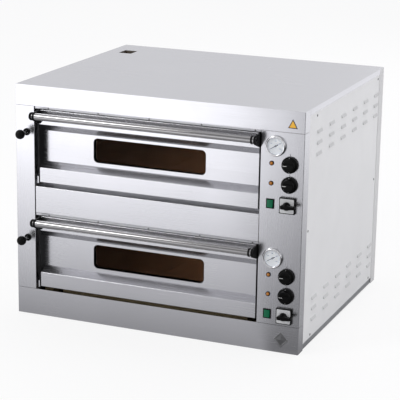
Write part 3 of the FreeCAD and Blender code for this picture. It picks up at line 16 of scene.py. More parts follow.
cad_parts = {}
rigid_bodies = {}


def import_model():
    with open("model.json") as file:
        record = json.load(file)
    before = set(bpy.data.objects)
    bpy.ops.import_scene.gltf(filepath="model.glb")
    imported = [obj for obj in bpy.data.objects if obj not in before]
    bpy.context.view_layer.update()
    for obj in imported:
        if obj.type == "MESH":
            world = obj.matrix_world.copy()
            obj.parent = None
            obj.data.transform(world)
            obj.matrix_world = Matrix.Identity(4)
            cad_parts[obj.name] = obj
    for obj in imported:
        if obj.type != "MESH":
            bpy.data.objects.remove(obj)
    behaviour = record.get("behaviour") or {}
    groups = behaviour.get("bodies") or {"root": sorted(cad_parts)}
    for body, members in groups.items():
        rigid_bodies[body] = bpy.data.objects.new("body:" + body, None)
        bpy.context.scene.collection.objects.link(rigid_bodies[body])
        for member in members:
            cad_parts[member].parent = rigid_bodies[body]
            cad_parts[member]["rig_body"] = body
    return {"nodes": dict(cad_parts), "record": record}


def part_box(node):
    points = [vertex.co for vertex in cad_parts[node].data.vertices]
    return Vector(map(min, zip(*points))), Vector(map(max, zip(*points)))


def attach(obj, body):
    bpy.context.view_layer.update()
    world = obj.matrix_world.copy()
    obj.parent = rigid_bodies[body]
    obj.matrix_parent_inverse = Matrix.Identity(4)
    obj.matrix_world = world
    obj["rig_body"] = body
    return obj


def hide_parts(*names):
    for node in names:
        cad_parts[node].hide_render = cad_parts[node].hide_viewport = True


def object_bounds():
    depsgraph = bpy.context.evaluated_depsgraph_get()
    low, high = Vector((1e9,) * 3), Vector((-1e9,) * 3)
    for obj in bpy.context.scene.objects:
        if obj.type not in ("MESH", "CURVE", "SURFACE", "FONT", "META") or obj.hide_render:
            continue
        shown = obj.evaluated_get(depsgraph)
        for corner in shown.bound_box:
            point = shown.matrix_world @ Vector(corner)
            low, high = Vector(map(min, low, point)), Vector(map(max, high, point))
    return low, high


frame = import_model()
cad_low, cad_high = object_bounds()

nodes = frame["nodes"]
slot_of = {row["node"]: row["material_slot"] for row in frame["record"]["subparts"]}
DECKS = ("lower", "upper")
print(len(nodes), "nodes in a box", [round(side, 3) for side in cad_high - cad_low])

# %% [markdown]
# ## The camera
#
# A big, boxy object looks natural from far away with a long lens, so that its upright edges stay almost upright. A
# camera looks along its own -Z. Its turn can be given as an azimuth, an elevation and a small roll, and a matrix
# built from its three axes says the same thing without any guesswork about the order of angles.

# %% Place the camera


def new_object(name, data):
    """An object in the scene that shows this mesh, lamp, curve or camera."""
    thing = bpy.data.objects.new(name, data)
    bpy.context.scene.collection.objects.link(thing)
    return thing


CAMERA_PLACE = Vector((1.8905, -4.6735, 1.700))
CAMERA_AZIMUTH = math.radians(22.19)
CAMERA_ELEVATION = math.radians(15.20)
CAMERA_ROLL = math.radians(0.96)
CAMERA_LENS = 142.2


def camera_axes(azimuth, elevation, roll):
    """The camera's right, up and backward directions as the columns of a rotation matrix."""
    flat = math.cos(elevation)
    back = Vector((math.sin(azimuth) * flat, -math.cos(azimuth) * flat, math.sin(elevation)))
    level = Vector((0, 0, 1)).cross(back).normalized()
    rise = back.cross(level)
    right = math.cos(roll) * level + math.sin(roll) * rise
    up = -math.sin(roll) * level + math.cos(roll) * rise
    return Matrix((right, up, back)).transposed()


camera_data = bpy.data.cameras.new("studio_camera")
camera_data.lens = CAMERA_LENS
camera = new_object("studio_camera", camera_data)
camera.rotation_mode = "QUATERNION"
camera.location = CAMERA_PLACE
camera.rotation_quaternion = camera_axes(CAMERA_AZIMUTH, CAMERA_ELEVATION, CAMERA_ROLL).to_quaternion()
bpy.context.scene.camera = camera
bpy.context.scene.view_settings.view_transform = "Standard"
print("camera is", round((CAMERA_PLACE - (cad_low + cad_high) / 2).length, 2), "m from the oven")

# %% [markdown]
# ## A helper for node trees
#
# Materials, the world and Geometry Nodes are all trees of nodes joined by links. One small class can wire all of
# them: `add` makes a node, sets its options, and fills each input with either a number or another node's output. The
# short methods after it name the sums that come up again and again.

# %% Wire nodes


class Graph:
    """Adds nodes to a tree and fills their inputs."""

    def __init__(self, tree):
        self.tree = tree

    def feed(self, socket, value):
        if isinstance(value, bpy.types.NodeSocket):
            self.tree.links.new(value, socket)
        else:
            socket.default_value = value

    def add(self, kind, inputs=None, **options):
        node = self.tree.nodes.new(kind)
        for option, value in options.items():
            setattr(node, option, value)
        for key, value in (inputs or {}).items():
            self.feed(node.inputs[key], value)
        return node

    def here(self):
        """The shaded point's place in its object."""
        return self.add("ShaderNodeTexCoord").outputs["Object"]

    def maths(self, operation, first, second=0.0):
        return self.add("ShaderNodeMath", {0: first, 1: second}, operation=operation).outputs[0]

    def times(self, first, second):
        return self.maths("MULTIPLY", first, second)

    def plus(self, first, second):
        return self.maths("ADD", first, second)

    def minus(self, first, second):
        return self.maths("SUBTRACT", first, second)

    def parts(self, vector):
        """The X, Y and Z of a vector."""
        return self.add("ShaderNodeSeparateXYZ", {0: vector}).outputs

    def vector(self, x, y, z):
        return self.add("ShaderNodeCombineXYZ", {0: x, 1: y, 2: z}).outputs[0]

    def blend(self, share, first, second):
        """A colour that goes from first to second."""
        mix = self.add("ShaderNodeMix", data_type="RGBA")
        self.feed(mix.inputs[0], share)
        self.feed(mix.inputs[6], first)
        self.feed(mix.inputs[7], second)
        return mix.outputs[2]

    def span(self, value, low, high, out_low, out_high):
        """A value moved from one range into another, and held inside it."""
        return self.add(
            "ShaderNodeMapRange", {0: value, 1: low, 2: high, 3: out_low, 4: out_high}
        ).outputs[0]


def new_group(name, kind, inputs, outputs):
    """An empty node group with named sockets: (name, type, default) each way in, (name, type) each way out."""
    group = bpy.data.node_groups.new(name, kind)
    for socket_name, socket_type, default in inputs:
        socket = group.interface.new_socket(name=socket_name, in_out="INPUT", socket_type=socket_type)
        if default is not None:
            socket.default_value = default
    for socket_name, socket_type in outputs:
        group.interface.new_socket(name=socket_name, in_out="OUTPUT", socket_type=socket_type)
    graph = Graph(group)
    return group, graph, graph.add("NodeGroupInput").outputs, graph.add("NodeGroupOutput").inputs


def grey(level):
    """A neutral colour."""
    return (level, level, level, 1.0)


print("graph helpers:", [name for name in vars(Graph) if not name.startswith("_")])

# %% [markdown]
# ## Studio: the sky
#
# Stainless steel shows what is around it, so the studio decides how the oven looks. Under a plain white world, a
# polished tube would have no shading. This sky is pale, with a dark band in front of the oven that draws the dark
# lines along the handles. The camera itself sees plain white.

# %% Make the sky
BAND_DARKNESS = 0.62

world = bpy.data.worlds.new("studio_world")
bpy.context.scene.world = world
world.use_nodes = True
sky = Graph(world.node_tree)
direction = sky.add("ShaderNodeTexCoord").outputs["Generated"]
axes = sky.parts(direction)
band_low = sky.span(axes["Z"], 0.34, 0.44, 0.0, 1.0)
band_high = sky.span(axes["Z"], 0.70, 0.80, 1.0, 0.0)
facing_front = sky.span(axes["Y"], -0.30, -0.10, 1.0, 0.0)
band = sky.times(sky.times(band_low, band_high), facing_front)
open_sky = sky.span(axes["Z"], 0.10, 0.75, 0.76, 0.92)
sky_level = sky.times(open_sky, sky.minus(1.0, sky.times(band, BAND_DARKNESS)))
blue_level = sky.times(sky_level, 1.03)
sky_colour = sky.add("ShaderNodeCombineColor", {0: sky_level, 1: sky_level, 2: blue_level})
seen = sky.add("ShaderNodeLightPath").outputs["Is Camera Ray"]
shown = sky.blend(seen, sky_colour.outputs[0], grey(1.0))
sky.feed(world.node_tree.nodes["Background"].inputs["Color"], shown)
print("sky ready; its band is darker by", BAND_DARKNESS)

# %% [markdown]
# ## Studio: the floor
#
# An upright metal front mirrors the floor in front of it: its foot mirrors the shaded floor close by, and its top
# mirrors bright floor far out. Dark cards could shade that mirror image, but they would show from the sides. So the
# floor's material gives mirror rays their own gradient, worked out from the place on the front where each floor
# point is seen, and everything else sees plain pale board.

# %% Lay the floor
FLOOR_HALF = 14.0
FRONT_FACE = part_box("control_panel")[0].y

# A floor point 1 m ahead of the front is mirrored this high on it, and this far to the right.
MIRROR_RISE = 0.293
MIRROR_LEAN = 0.407

floor_material = bpy.data.materials.new("pale_board")
floor_material.use_nodes = True
board = Graph(floor_material.node_tree)
board_shader = floor_material.node_tree.nodes["Principled BSDF"]
board_shader.inputs["Roughness"].default_value = 0.9
board_shader.inputs["Base Color"].default_value = grey(0.93)
board_place = board.here()
board_axes = board.parts(board_place)
out_front = board.minus(FRONT_FACE, board_axes["Y"])
seen_at = board.times(out_front, MIRROR_RISE)
lean = board.plus(board_axes["X"], board.times(out_front, MIRROR_LEAN))
rise = board.plus(board.span(seen_at, 0.0, 0.40, 0.36, 1.02), board.span(seen_at, 0.40, 0.72, 0.0, 0.72))
dim_right = board.span(seen_at, 0.61, 0.69, 0.57, 0.95)
to_right = board.span(lean, 0.36, 0.40, 1.12, dim_right)
flag = board.span(lean, 0.62, 0.80, 1.0, 0.12)
to_left = board.span(lean, -0.215, -0.165, 1.05, 1.0)
sideways = board.times(to_right, board.times(to_left, flag))
front_glow = board.times(rise, sideways)
away = board.add("ShaderNodeVectorMath", {0: board_place}, operation="LENGTH").outputs["Value"]
side_glow = board.span(away, 0.5, 3.0, 0.42, 1.10)
in_front = board.span(out_front, -0.25, 0.05, 0.0, 1.0)
side_share = board.times(side_glow, board.minus(1.0, in_front))
glow = board.plus(side_share, board.times(front_glow, in_front))
shine = board.add("ShaderNodeEmission", {"Color": (0.985, 0.985, 1.02, 1.0), "Strength": glow})
ray = board.add("ShaderNodeLightPath").outputs
paper = board.add("ShaderNodeEmission", {"Color": grey(1.0), "Strength": 1.0})
paper_share = board.times(ray["Is Camera Ray"], 0.80)
pale = board.add("ShaderNodeMixShader", {0: paper_share, 1: board_shader.outputs[0], 2: paper.outputs[0]})
both = board.add("ShaderNodeMixShader", {0: ray["Is Glossy Ray"], 1: pale.outputs[0], 2: shine.outputs[0]})
board.feed(floor_material.node_tree.nodes["Material Output"].inputs["Surface"], both.outputs[0])

floor_mesh = bpy.data.meshes.new("studio_floor")
corners = [(x * FLOOR_HALF, y * FLOOR_HALF, cad_low.z) for x, y in ((-1, -1), (1, -1), (1, 1), (-1, 1))]
floor_mesh.from_pydata(corners, [], [(0, 1, 2, 3)])
floor_mesh.materials.append(floor_material)
new_object("studio_floor", floor_mesh)
print("studio floor at", round(cad_low.z, 4))

# %% [markdown]
# ## Studio: the lamps
#
# Large soft lamps give long, even highlights without hard shadows. The key lamp stands at the front left, and two
# weaker ones keep the right side and the back from going dark.

# %% Hang the lamps
LAMP_AIM = Vector((0.0, 0.0, 0.4))


def soft_light(name, place, size, power, kind="AREA"):
    """A soft lamp that looks at the middle of the oven."""
    lamp = bpy.data.lights.new(name, kind)
    lamp.energy = power
    if kind == "AREA":
        lamp.size = size
    else:
        lamp.shadow_soft_size = size
    stand = new_object(name, lamp)
    stand.location = place
    stand.rotation_mode = "QUATERNION"
    stand.rotation_quaternion = (LAMP_AIM - Vector(place)).to_track_quat("-Z", "Y")
    return stand


soft_light("key_light", (-2.6, -3.4, 3.4), 1.6, 60)
soft_light("side_light", (4.5, 0.8, 2.2), 2.0, 22)
soft_light("back_light", (0.5, 4.5, 3.0), 2.0, 30)
print("lamps:", [lamp.name for lamp in bpy.data.lights])

# %% [markdown]
# ## Shared surface effects
#
# Many finishes need the same few effects: the hair lines of a brushed sheet, the hardly visible smears that hands
# and cloths leave, and the fine grain of a moulding or a paint. Each is a node group with named inputs, built once.
# A group only puts out numbers; the shader stays in the material, where a reader can see it.

# %% Build the effect groups
FLOAT = "NodeSocketFloat"
VECTOR = "NodeSocketVector"


def brushed_group():
    """Hair lines: noise stretched along one axis, once fine and once broad."""
    group, graph, given, result = new_group(
        "hair_lines",
        "ShaderNodeTree",
        [("Stretch", VECTOR, (6.0, 6.0, 900.0)), ("Broad", FLOAT, 0.05)],
        [("Grain", FLOAT), ("Streaks", FLOAT)],
    )
    place = graph.here()
    stretched = graph.add("ShaderNodeVectorMath", {0: place, 1: given["Stretch"]}, operation="MULTIPLY").outputs[0]
    fine = graph.add("ShaderNodeTexNoise", {"Vector": stretched, "Scale": 1.0, "Detail": 2.0})
    wide = graph.add("ShaderNodeTexNoise", {"Vector": stretched, "Scale": given["Broad"], "Detail": 3.0})
    graph.feed(result["Grain"], fine.outputs[0])
    graph.feed(result["Streaks"], wide.outputs[0])
    return group


def smear_group():
    """Soft patches, 0 where the surface is clean and 1 where it was wiped."""
    group, graph, given, result = new_group(
        "smears", "ShaderNodeTree", [("Scale", FLOAT, 5.0), ("Edge", FLOAT, 0.15)], [("Mask", FLOAT)]
    )
    place = graph.here()
    cloud = graph.add(
        "ShaderNodeTexNoise", {"Vector": place, "Scale": given["Scale"], "Detail": 5.0, "Distortion": 0.6}
    ).outputs[0]
    low = graph.minus(0.5, given["Edge"])
    high = graph.plus(0.5, given["Edge"])
    graph.feed(result["Mask"], graph.span(cloud, low, high, 0.0, 1.0))
    return group


def grain_group():
    """Fine even grain with a few deeper pores, for mouldings, paint and stone."""
    group, graph, given, result = new_group(
        "fine_grain", "ShaderNodeTree", [("Scale", FLOAT, 900.0), ("Pores", FLOAT, 0.0)], [("Height", FLOAT)]
    )
    place = graph.here()
    noise = graph.add("ShaderNodeTexNoise", {"Vector": place, "Scale": given["Scale"], "Detail": 3.0}).outputs[0]
    spacing = graph.times(given["Scale"], 0.35)
    cells = graph.add("ShaderNodeTexVoronoi", {"Vector": place, "Scale": spacing}).outputs["Distance"]
    pores = graph.times(graph.span(cells, 0.0, 0.35, 1.0, 0.0), given["Pores"])
    graph.feed(result["Height"], graph.minus(noise, pores))
    return group


HAIR_LINES = brushed_group()
SMEARS = smear_group()
FINE_GRAIN = grain_group()
print("effect groups:", [group.name for group in bpy.data.node_groups])

# %% [markdown]
# ## Recipe: brushed metal
#
# A finish is a Principled shader whose colour, roughness and bump are driven by the effects above. Numbers that are
# the same all over are typed straight into the shader's sockets. Hair lines run the way each sheet was brushed, so
# the same recipe takes a stretch along X, Y or Z.

# %% A recipe for brushed metal


def begin_finish(name, constants):
    """A material, its graph and its Principled shader."""
    material = bpy.data.materials.new(name)
    material.use_nodes = True
    shader = material.node_tree.nodes["Principled BSDF"]
    for socket, value in constants.items():
        shader.inputs[socket].default_value = value
    return material, Graph(material.node_tree), shader


def placed(graph, group, inputs):
    """A group placed in this material, with its own values."""
    node = graph.add("ShaderNodeGroup", node_tree=group)
    for key, value in inputs.items():
        graph.feed(node.inputs[key], value)
    return node.outputs


def bumped(graph, shader, height, distance):
    """Feed a height into the shader's normal."""
    bump = graph.add("ShaderNodeBump", {"Height": height, "Distance": distance})
    graph.feed(shader.inputs["Normal"], bump.outputs[0])


def brushed_metal(name, along, colour, smooth, rough, relief=0.0000012):
    """Brushed sheet or drawn tube, with hair lines along one axis."""
    material, graph, shader = begin_finish(name, {"Metallic": 1.0})
    stretch = [5.0 if axis == along else 1100.0 for axis in "xyz"]
    lines = placed(graph, HAIR_LINES, {"Stretch": stretch, "Broad": 0.04})
    wiped = placed(graph, SMEARS, {"Scale": 4.0, "Edge": 0.2})["Mask"]
    darker = [0.965 * channel for channel in colour]
    graph.feed(
        shader.inputs["Base Color"], graph.blend(lines["Streaks"], (*colour, 1.0), (*darker, 1.0))
    )
    scatter = graph.span(lines["Grain"], 0.25, 0.75, smooth, rough)
    worn = graph.times(wiped, 0.05)
    graph.feed(shader.inputs["Roughness"], graph.plus(scatter, worn))
    bumped(graph, shader, lines["Grain"], relief)
    return material


print("brushed metal recipe ready")

# %% [markdown]
# ## Recipes: mouldings, glass and metal near the heat
#
# Knobs and paint have one colour, a fine grain and soft wipe marks. Glass keeps a plain transmission, and only its
# colour and gloss change with the wipe marks. Metal near the heat takes on a straw to brown tint in patches, but a
# liner stays clean steel where it meets the cooler front.

# %% Recipes for mouldings, glass and tinted metal


def moulded(name, colour, rough, grain=1200.0, relief=0.00003, constants=None, shade_past=None):
    """A moulding or paint with fine grain; past the distance shade_past along X, it gets a painted shade."""
    material, graph, shader = begin_finish(name, constants or {})
    height = placed(graph, FINE_GRAIN, {"Scale": grain, "Pores": 0.1})["Height"]
    wiped = placed(graph, SMEARS, {"Scale": 9.0, "Edge": 0.25})["Mask"]
    lighter = [min(1.0, 1.05 * channel + 0.002) for channel in colour]
    coat = graph.blend(wiped, (*colour, 1.0), (*lighter, 1.0))
    if shade_past is not None:
        # Painted shade: past shade_past along X, the paint is darkened to stand in for the louvres' shading.
        across = graph.maths("ABSOLUTE", graph.parts(graph.here())["X"])
        shade = graph.span(across, shade_past, shade_past + 0.0012, 0.0, 1.0)
        coat = graph.blend(shade, coat, (*[0.82 * channel for channel in colour], 1.0))
    graph.feed(shader.inputs["Base Color"], coat)
    graph.feed(shader.inputs["Roughness"], graph.span(wiped, 0.0, 1.0, rough, rough + 0.08))
    bumped(graph, shader, height, relief)
    return material


def clear_sheet(name, colour, constants):
    """Glass or clear plastic with a trace of wipe marks in its gloss."""
    material, graph, shader = begin_finish(name, {"Transmission Weight": 1.0, "IOR": 1.45, **constants})
    wiped = placed(graph, SMEARS, {"Scale": 14.0, "Edge": 0.2})["Mask"]
    darker = [0.92 * channel for channel in colour]
    graph.feed(shader.inputs["Base Color"], graph.blend(wiped, (*colour, 1.0), (*darker, 1.0)))
    graph.feed(shader.inputs["Roughness"], graph.span(wiped, 0.0, 1.0, 0.01, 0.05))
    return material


def tinted(name, clean, tint, patch, rough, metallic, grain, relief, pores=0.0, cool_front=None):
    """A surface whose colour wanders between two shades. Ahead of the depth cool_front, it is clean steel."""
    material, graph, shader = begin_finish(name, {"Metallic": metallic})
    mask = placed(graph, SMEARS, {"Scale": patch, "Edge": 0.3})["Mask"]
    height = placed(graph, FINE_GRAIN, {"Scale": grain, "Pores": pores})["Height"]
    speck = graph.span(height, 0.2, 0.8, 0.0, 0.35)
    share = graph.plus(graph.times(mask, 0.65), speck)
    colour = graph.blend(share, (*clean, 1.0), (*tint, 1.0))
    if cool_front is not None:
        depth = graph.parts(graph.here())["Y"]
        cooked = graph.span(depth, cool_front, cool_front + 0.03, 0.0, 1.0)
        colour = graph.blend(cooked, (*STAINLESS, 1.0), colour)
    graph.feed(shader.inputs["Base Color"], colour)
    graph.feed(shader.inputs["Roughness"], graph.span(mask, 0.0, 1.0, rough, min(1.0, rough + 0.12)))
    bumped(graph, shader, height, relief)
    return material


print("recipes for mouldings, glass and tinted metal ready")

# %% [markdown]
# ## The oven's finishes
#
# Each finish is one recipe with its own numbers. Black plastic gets a low specular level, or the bright studio would
# turn it grey. The louvres stand only a few millimetres proud of the side panels, so their paint gets a painted shade,
# a shade darker, to keep them readable. The dials get a faint painted glow, so that they stay white behind their
# lenses, and the polished handle tubes are painted darker than steel, as a painted reflection of dark surroundings.

# %% Mix the finishes
STAINLESS = (0.650, 0.650, 0.672)
steel_across = brushed_metal("stainless_brushed_across", "x", STAINLESS, 0.19, 0.25)
steel_upright = brushed_metal("stainless_brushed_upright", "z", STAINLESS, 0.20, 0.25)
steel_dull = brushed_metal("stainless_dull_strip", "x", STAINLESS, 0.34, 0.42, 0.0000004)
# Painted reflection: the polished tube's colour is far darker than steel, standing in for the dark surroundings it
# mirrors.
tube_steel_painted_dark = brushed_metal("polished_tube_painted_dark", "x", (0.33, 0.325, 0.325), 0.04, 0.08, 0.0000002)
steel_rod = brushed_metal("drawn_steel_rod", "y", (0.60, 0.60, 0.60), 0.16, 0.30)
LOUVRE_FOOT = 0.4765
# Painted shade: the louvres' paint past LOUVRE_FOOT is a shade darker, standing in for their shading.
grey_paint = moulded(
    "light_grey_paint", (0.72, 0.72, 0.722), 0.45, 700.0, 0.00001,
    {"Specular IOR Level": 0.3}, shade_past=LOUVRE_FOOT,
)
DEEP = {"Specular IOR Level": 0.09}
bakelite = moulded("black_bakelite", (0.003, 0.003, 0.003), 0.24, 1500.0, 0.000004, DEEP)
black_paint = moulded("black_enamel", (0.003, 0.003, 0.003), 0.30, 900.0, 0.00001, DEEP)
switch_plastic = moulded("grey_switch_plastic", (0.58, 0.585, 0.59), 0.34, 1400.0, 0.00001)
green_plastic = moulded(
    "green_lit_plastic", (0.001, 0.105, 0.045), 0.16, 1500.0, 0.000002,
    {"Emission Color": (0.0, 0.10, 0.04, 1.0), "Emission Strength": 0.10, "Specular IOR Level": 0.25},
)
amber_plastic = moulded(
    "amber_lens_plastic", (0.85, 0.30, 0.02), 0.12, 1500.0, 0.000005,
    {"Transmission Weight": 0.5, "Coat Weight": 0.6},
)
chrome = brushed_metal("chromed_ring", "y", (0.80, 0.80, 0.81), 0.03, 0.06, 0.000001)
# Painted glow: the white dial paint also emits a little light, so it stays white behind the lens; it is no lamp.
dial_paint_and_glow = moulded(
    "white_dial_paint_and_glow", (0.84, 0.86, 0.90), 0.30, 1500.0, 0.000004,
    {"Emission Color": (0.80, 0.83, 0.87, 1.0), "Emission Strength": 0.34},
)
needle_paint = moulded("black_needle_paint", (0.01, 0.01, 0.01), 0.45)
white_print = moulded("white_print", (0.75, 0.75, 0.74), 0.45)
black_print = moulded("black_print", (0.02, 0.02, 0.022), 0.45)
silicone = moulded("black_silicone", (0.015, 0.015, 0.015), 0.55, 600.0, 0.00005)
nylon = moulded("grey_nylon", (0.09, 0.095, 0.10), 0.4)
phenolic = moulded("brown_phenolic", (0.05, 0.035, 0.03), 0.35)
ceramic = moulded("unglazed_ceramic", (0.72, 0.69, 0.62), 0.6, 900.0, 0.00004)
yellow_film = moulded("yellow_film", (0.80, 0.42, 0.02), 0.25, 1500.0, 0.000004, {"Coat Weight": 0.3})
galvanised = tinted("galvanised_sheet", (0.52, 0.53, 0.54), (0.36, 0.37, 0.38), 26.0, 0.38, 1.0, 300.0, 0.00002)
liner_steel = tinted(
    "heat_tinted_liner", (0.40, 0.36, 0.31), (0.22, 0.17, 0.13), 3.5, 0.36, 1.0, 500.0, 0.00003,
    cool_front=-0.350,
)
element_metal = tinted("oxidised_element", (0.16, 0.15, 0.15), (0.07, 0.06, 0.06), 30.0, 0.5, 0.9, 900.0, 0.00004)
stone = tinted("hearth_stone", (0.42, 0.30, 0.22), (0.27, 0.18, 0.13), 7.0, 0.85, 0.0, 420.0, 0.0006, 0.6)
wool = tinted("mineral_wool", (0.60, 0.50, 0.30), (0.42, 0.33, 0.18), 12.0, 0.95, 0.0, 260.0, 0.003, 0.3)
zinc = tinted("zinc_plated_screw", (0.20, 0.20, 0.205), (0.11, 0.11, 0.11), 60.0, 0.30, 1.0, 900.0, 0.000004)
badge_metal = tinted("cast_badge_metal", (0.45, 0.45, 0.46), (0.12, 0.12, 0.12), 45.0, 0.25, 1.0, 700.0, 0.00008)
door_glass = clear_sheet("dark_door_glass", (0.74, 0.69, 0.65), {"IOR": 1.06})
lens_glass = clear_sheet("clear_lens", (0.98, 0.985, 0.985), {"IOR": 1.12})
lamp_glass = clear_sheet("oven_lamp_glass", (0.95, 0.90, 0.80), {})
print(len(bpy.data.materials), "finishes")

# %% [markdown]
# ## Dressing the CAD pieces
#
# Most sheet-metal pieces are already right in shape, so they only need a finish. Which way a sheet was brushed
# matters: wide, low panels are brushed across, and the tall control panel and post are brushed along their length.
# A table keeps those choices in one place. A star in it stands for each deck in turn.

# %% Give every node its finish
DRESSED_IN = (
    (galvanised, "base_tray deck_rails"),
    (steel_across, "base_front_panel middle_front_panel top_front_fascia top_cover *_door_skin"),
    (steel_upright, "left_front_post control_panel hinge_brackets"),
    (steel_dull, "door_lintels"),
    (tube_steel_painted_dark, "*_handle_tube"),
    (steel_rod, "*_damper_rod"),
    (grey_paint, "left_side_panel right_side_panel back_panel"),
    (liner_steel, "*_chamber steam_duct *_door_inner_panel"),
    (black_paint, "*_door_ends"),
    (silicone, "*_door_seal"),
    (door_glass, "*_window_panes"),
    (zinc, "panel_screws"),
    (wool, "insulation_blankets"),
    (stone, "hearth_stones"),
    (element_metal, "heating_elements"),
    (lamp_glass, "oven_lamps"),
    (chrome, "thermometer_cases"),
    (dial_paint_and_glow, "thermometer_dials"),
    (lens_glass, "thermometer_lenses"),
    (needle_paint, "*_thermometer_needle"),
    (bakelite, "*_top_heat_knob *_bottom_heat_knob *_main_switch_lever rocker_frames *_handle_brackets *_damper_knob"),
    (green_plastic, "*_power_rocker"),
    (switch_plastic, "main_switches"),
    (amber_plastic, "pilot_lamps"),
    (phenolic, "thermostat_bodies"),
    (badge_metal, "emblem_plate"),
    (yellow_film, "triangle_sign"),
    (nylon, "cable_gland"),
    (ceramic, "terminal_block"),
)
FINISHES = {}
for finish, names in DRESSED_IN:
    for name in names.split():
        for deck in DECKS:
            FINISHES[name.replace("*", deck)] = finish
for name, piece in nodes.items():
    if not piece.material_slots:
        piece.data.materials.append(None)
    for place in piece.material_slots:
        place.material = FINISHES[name]
print("dressed", len(nodes), "nodes; without a finish:", sorted(set(nodes) - set(FINISHES)))

# %% [markdown]
# ## Softened copies
#
# A moulding has no perfectly sharp edge, and the thin highlight along its rounded edge is what makes it look solid.
# The CAD nodes stay as they are: a copy of each is merged, because its triangles come in loose, and a Bevel modifier
# rounds the copy. The copy then stands for its node.

# %% Round the edges of copies


def owner_of(node):
    """The body that a CAD node rides on."""
    return nodes[node]["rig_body"]


def finish_piece(piece, body, *replaced, slot=None):
    """Attach a piece to a body and hide the CAD nodes that it stands for."""
    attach(piece, body)
    if replaced:
        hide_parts(*replaced)
    return piece


def piece_from(mesh_data, name, *materials):
    """A mesh object at the origin, from a BMesh whose points are already in place."""
    mesh = bpy.data.meshes.new(name)
    bmesh.ops.remove_doubles(mesh_data, verts=mesh_data.verts, dist=0.000001)
    bmesh.ops.recalc_face_normals(mesh_data, faces=mesh_data.faces)
    mesh_data.to_mesh(mesh)
    mesh_data.free()
    for material in materials:
        mesh.materials.append(material)
    return new_object(name, mesh)


def rounded_copy(node, radius):
    """A bevelled copy of a CAD node that replaces it."""
    work = bmesh.new()
    work.from_mesh(nodes[node].data)
    copy = piece_from(work, f"{node}_rounded", FINISHES[node])
    low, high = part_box(node)
    bevel = copy.modifiers.new("round_edges", "BEVEL")
    bevel.width = radius
    bevel.segments = 3
    bevel.limit_method = "ANGLE"
    bevel.angle_limit = math.radians(35)
    bevel.use_clamp_overlap = True
    evaluated = copy.evaluated_get(bpy.context.evaluated_depsgraph_get())
    rounded = bpy.data.meshes.new_from_object(evaluated)
    copy.modifiers.clear()
    copy.data = rounded
    for face in rounded.polygons:
        face.use_smooth = True
    rounded.set_sharp_from_angle(angle=math.radians(40))
    for point in rounded.vertices:
        for axis in range(3):
            point.co[axis] = min(max(point.co[axis], low[axis]), high[axis])
    return finish_piece(copy, owner_of(node), node)


ROUNDED = {"rocker_frames": 0.0008, "main_switches": 0.0012, "cable_gland": 0.0008}
DECK_ROUNDED = {"handle_brackets": 0.0016, "main_switch_lever": 0.0012, "power_rocker": 0.0006}
for deck in DECKS:
    for name, radius in DECK_ROUNDED.items():
        ROUNDED[f"{deck}_{name}"] = radius
softened = {node: rounded_copy(node, radius) for node, radius in ROUNDED.items()}
print("rounded", {node: len(piece.data.polygons) for node, piece in softened.items()})

# %% [markdown]
# ## Lathe-turned pieces
#
# Knobs, bezels and lenses are round about an axis that points out of the panel. Such a piece is drawn as half of its
# outline, a list of (radius, depth) points, and turned about that axis. The outline's small steps become rounded
# lips and grooves at almost no cost, and the flutes of a knob are pressed in by changing the radius with the angle.

# %% A lathe
LIP_STEPS = 4


def turn_outline(outline, centre, steps=96, flute=None):
    """A closed solid of revolution about the line through centre along Y. Depth counts outward, toward -Y."""
    work = bmesh.new()
    rings = []
    for radius, depth in outline:
        if radius < 1e-7:
            rings.append([work.verts.new((centre[0], centre[1] - depth, centre[2]))])
            continue
        ring = []
        for step in range(steps):
            angle = 2 * math.pi * step / steps
            reach = radius - (flute(angle, radius) if flute else 0.0)
            place = (centre[0] + reach * math.cos(angle), centre[1] - depth, centre[2] + reach * math.sin(angle))
            ring.append(work.verts.new(place))
        rings.append(ring)
    for first, second in zip(rings, rings[1:]):
        for step in range(steps):
            after = (step + 1) % steps
            corners = [first[step % len(first)], first[after % len(first)]]
            corners += [second[after % len(second)], second[step % len(second)]]
            face = work.faces.new(list(dict.fromkeys(corners)))
            face.smooth = True
    return work


def lip(radius, depth, bend):
    """A quarter-round edge from the rim (radius, depth - bend) to the face (radius - bend, depth)."""
    points = []
    for step in range(LIP_STEPS + 1):
        angle = math.pi / 2 * step / LIP_STEPS
        points.append((radius - bend + bend * math.cos(angle), depth - bend + bend * math.sin(angle)))
    return points


print("lathe ready")

# %% [markdown]
# ## Loose parts of a node
#
# One CAD node may hold several equal pieces, such as all the screws or both dials. A piece that stands for such a
# node needs the place of each. Walking from point to point along the edges finds what hangs together, once the
# doubled points of the CAD mesh are merged.

# %% Find the loose parts


def island_boxes(node):
    """The low and the high corner of each loose part of a CAD node, in the order of its points."""
    work = bmesh.new()
    work.from_mesh(nodes[node].data)
    bmesh.ops.remove_doubles(work, verts=work.verts, dist=0.000001)
    left, boxes = set(work.verts), []
    for start in work.verts:
        if start not in left:
            continue
        left.remove(start)
        reach, part = [start], []
        while reach:
            vertex = reach.pop()
            part.append(vertex.co.copy())
            for edge in vertex.link_edges:
                other = edge.other_vert(vertex)
                if other in left:
                    left.remove(other)
                    reach.append(other)
        boxes.append([Vector([pick(place[axis] for place in part) for axis in range(3)]) for pick in (min, max)])
    work.free()
    return boxes


def on_panel(low, high):
    """The point on the panel's face behind the middle of a box."""
    return Vector(((low.x + high.x) / 2, FRONT_FACE, (low.z + high.z) / 2))


screw_boxes = island_boxes("panel_screws")
print(len(screw_boxes), "loose screws in one node")

# %% [markdown]
# ## A tree for screw heads
#
# The oven has rows of small pan-head screws. Each one needs the same domed head and cross recess, so Geometry Nodes
# builds one head from a flattened ball with a cross cut out of it, and puts it on a point per screw. A point stores
# which way its screw faces and how wide the head is. A fixed seed turns every head a little differently.

# %% Plan the screw heads


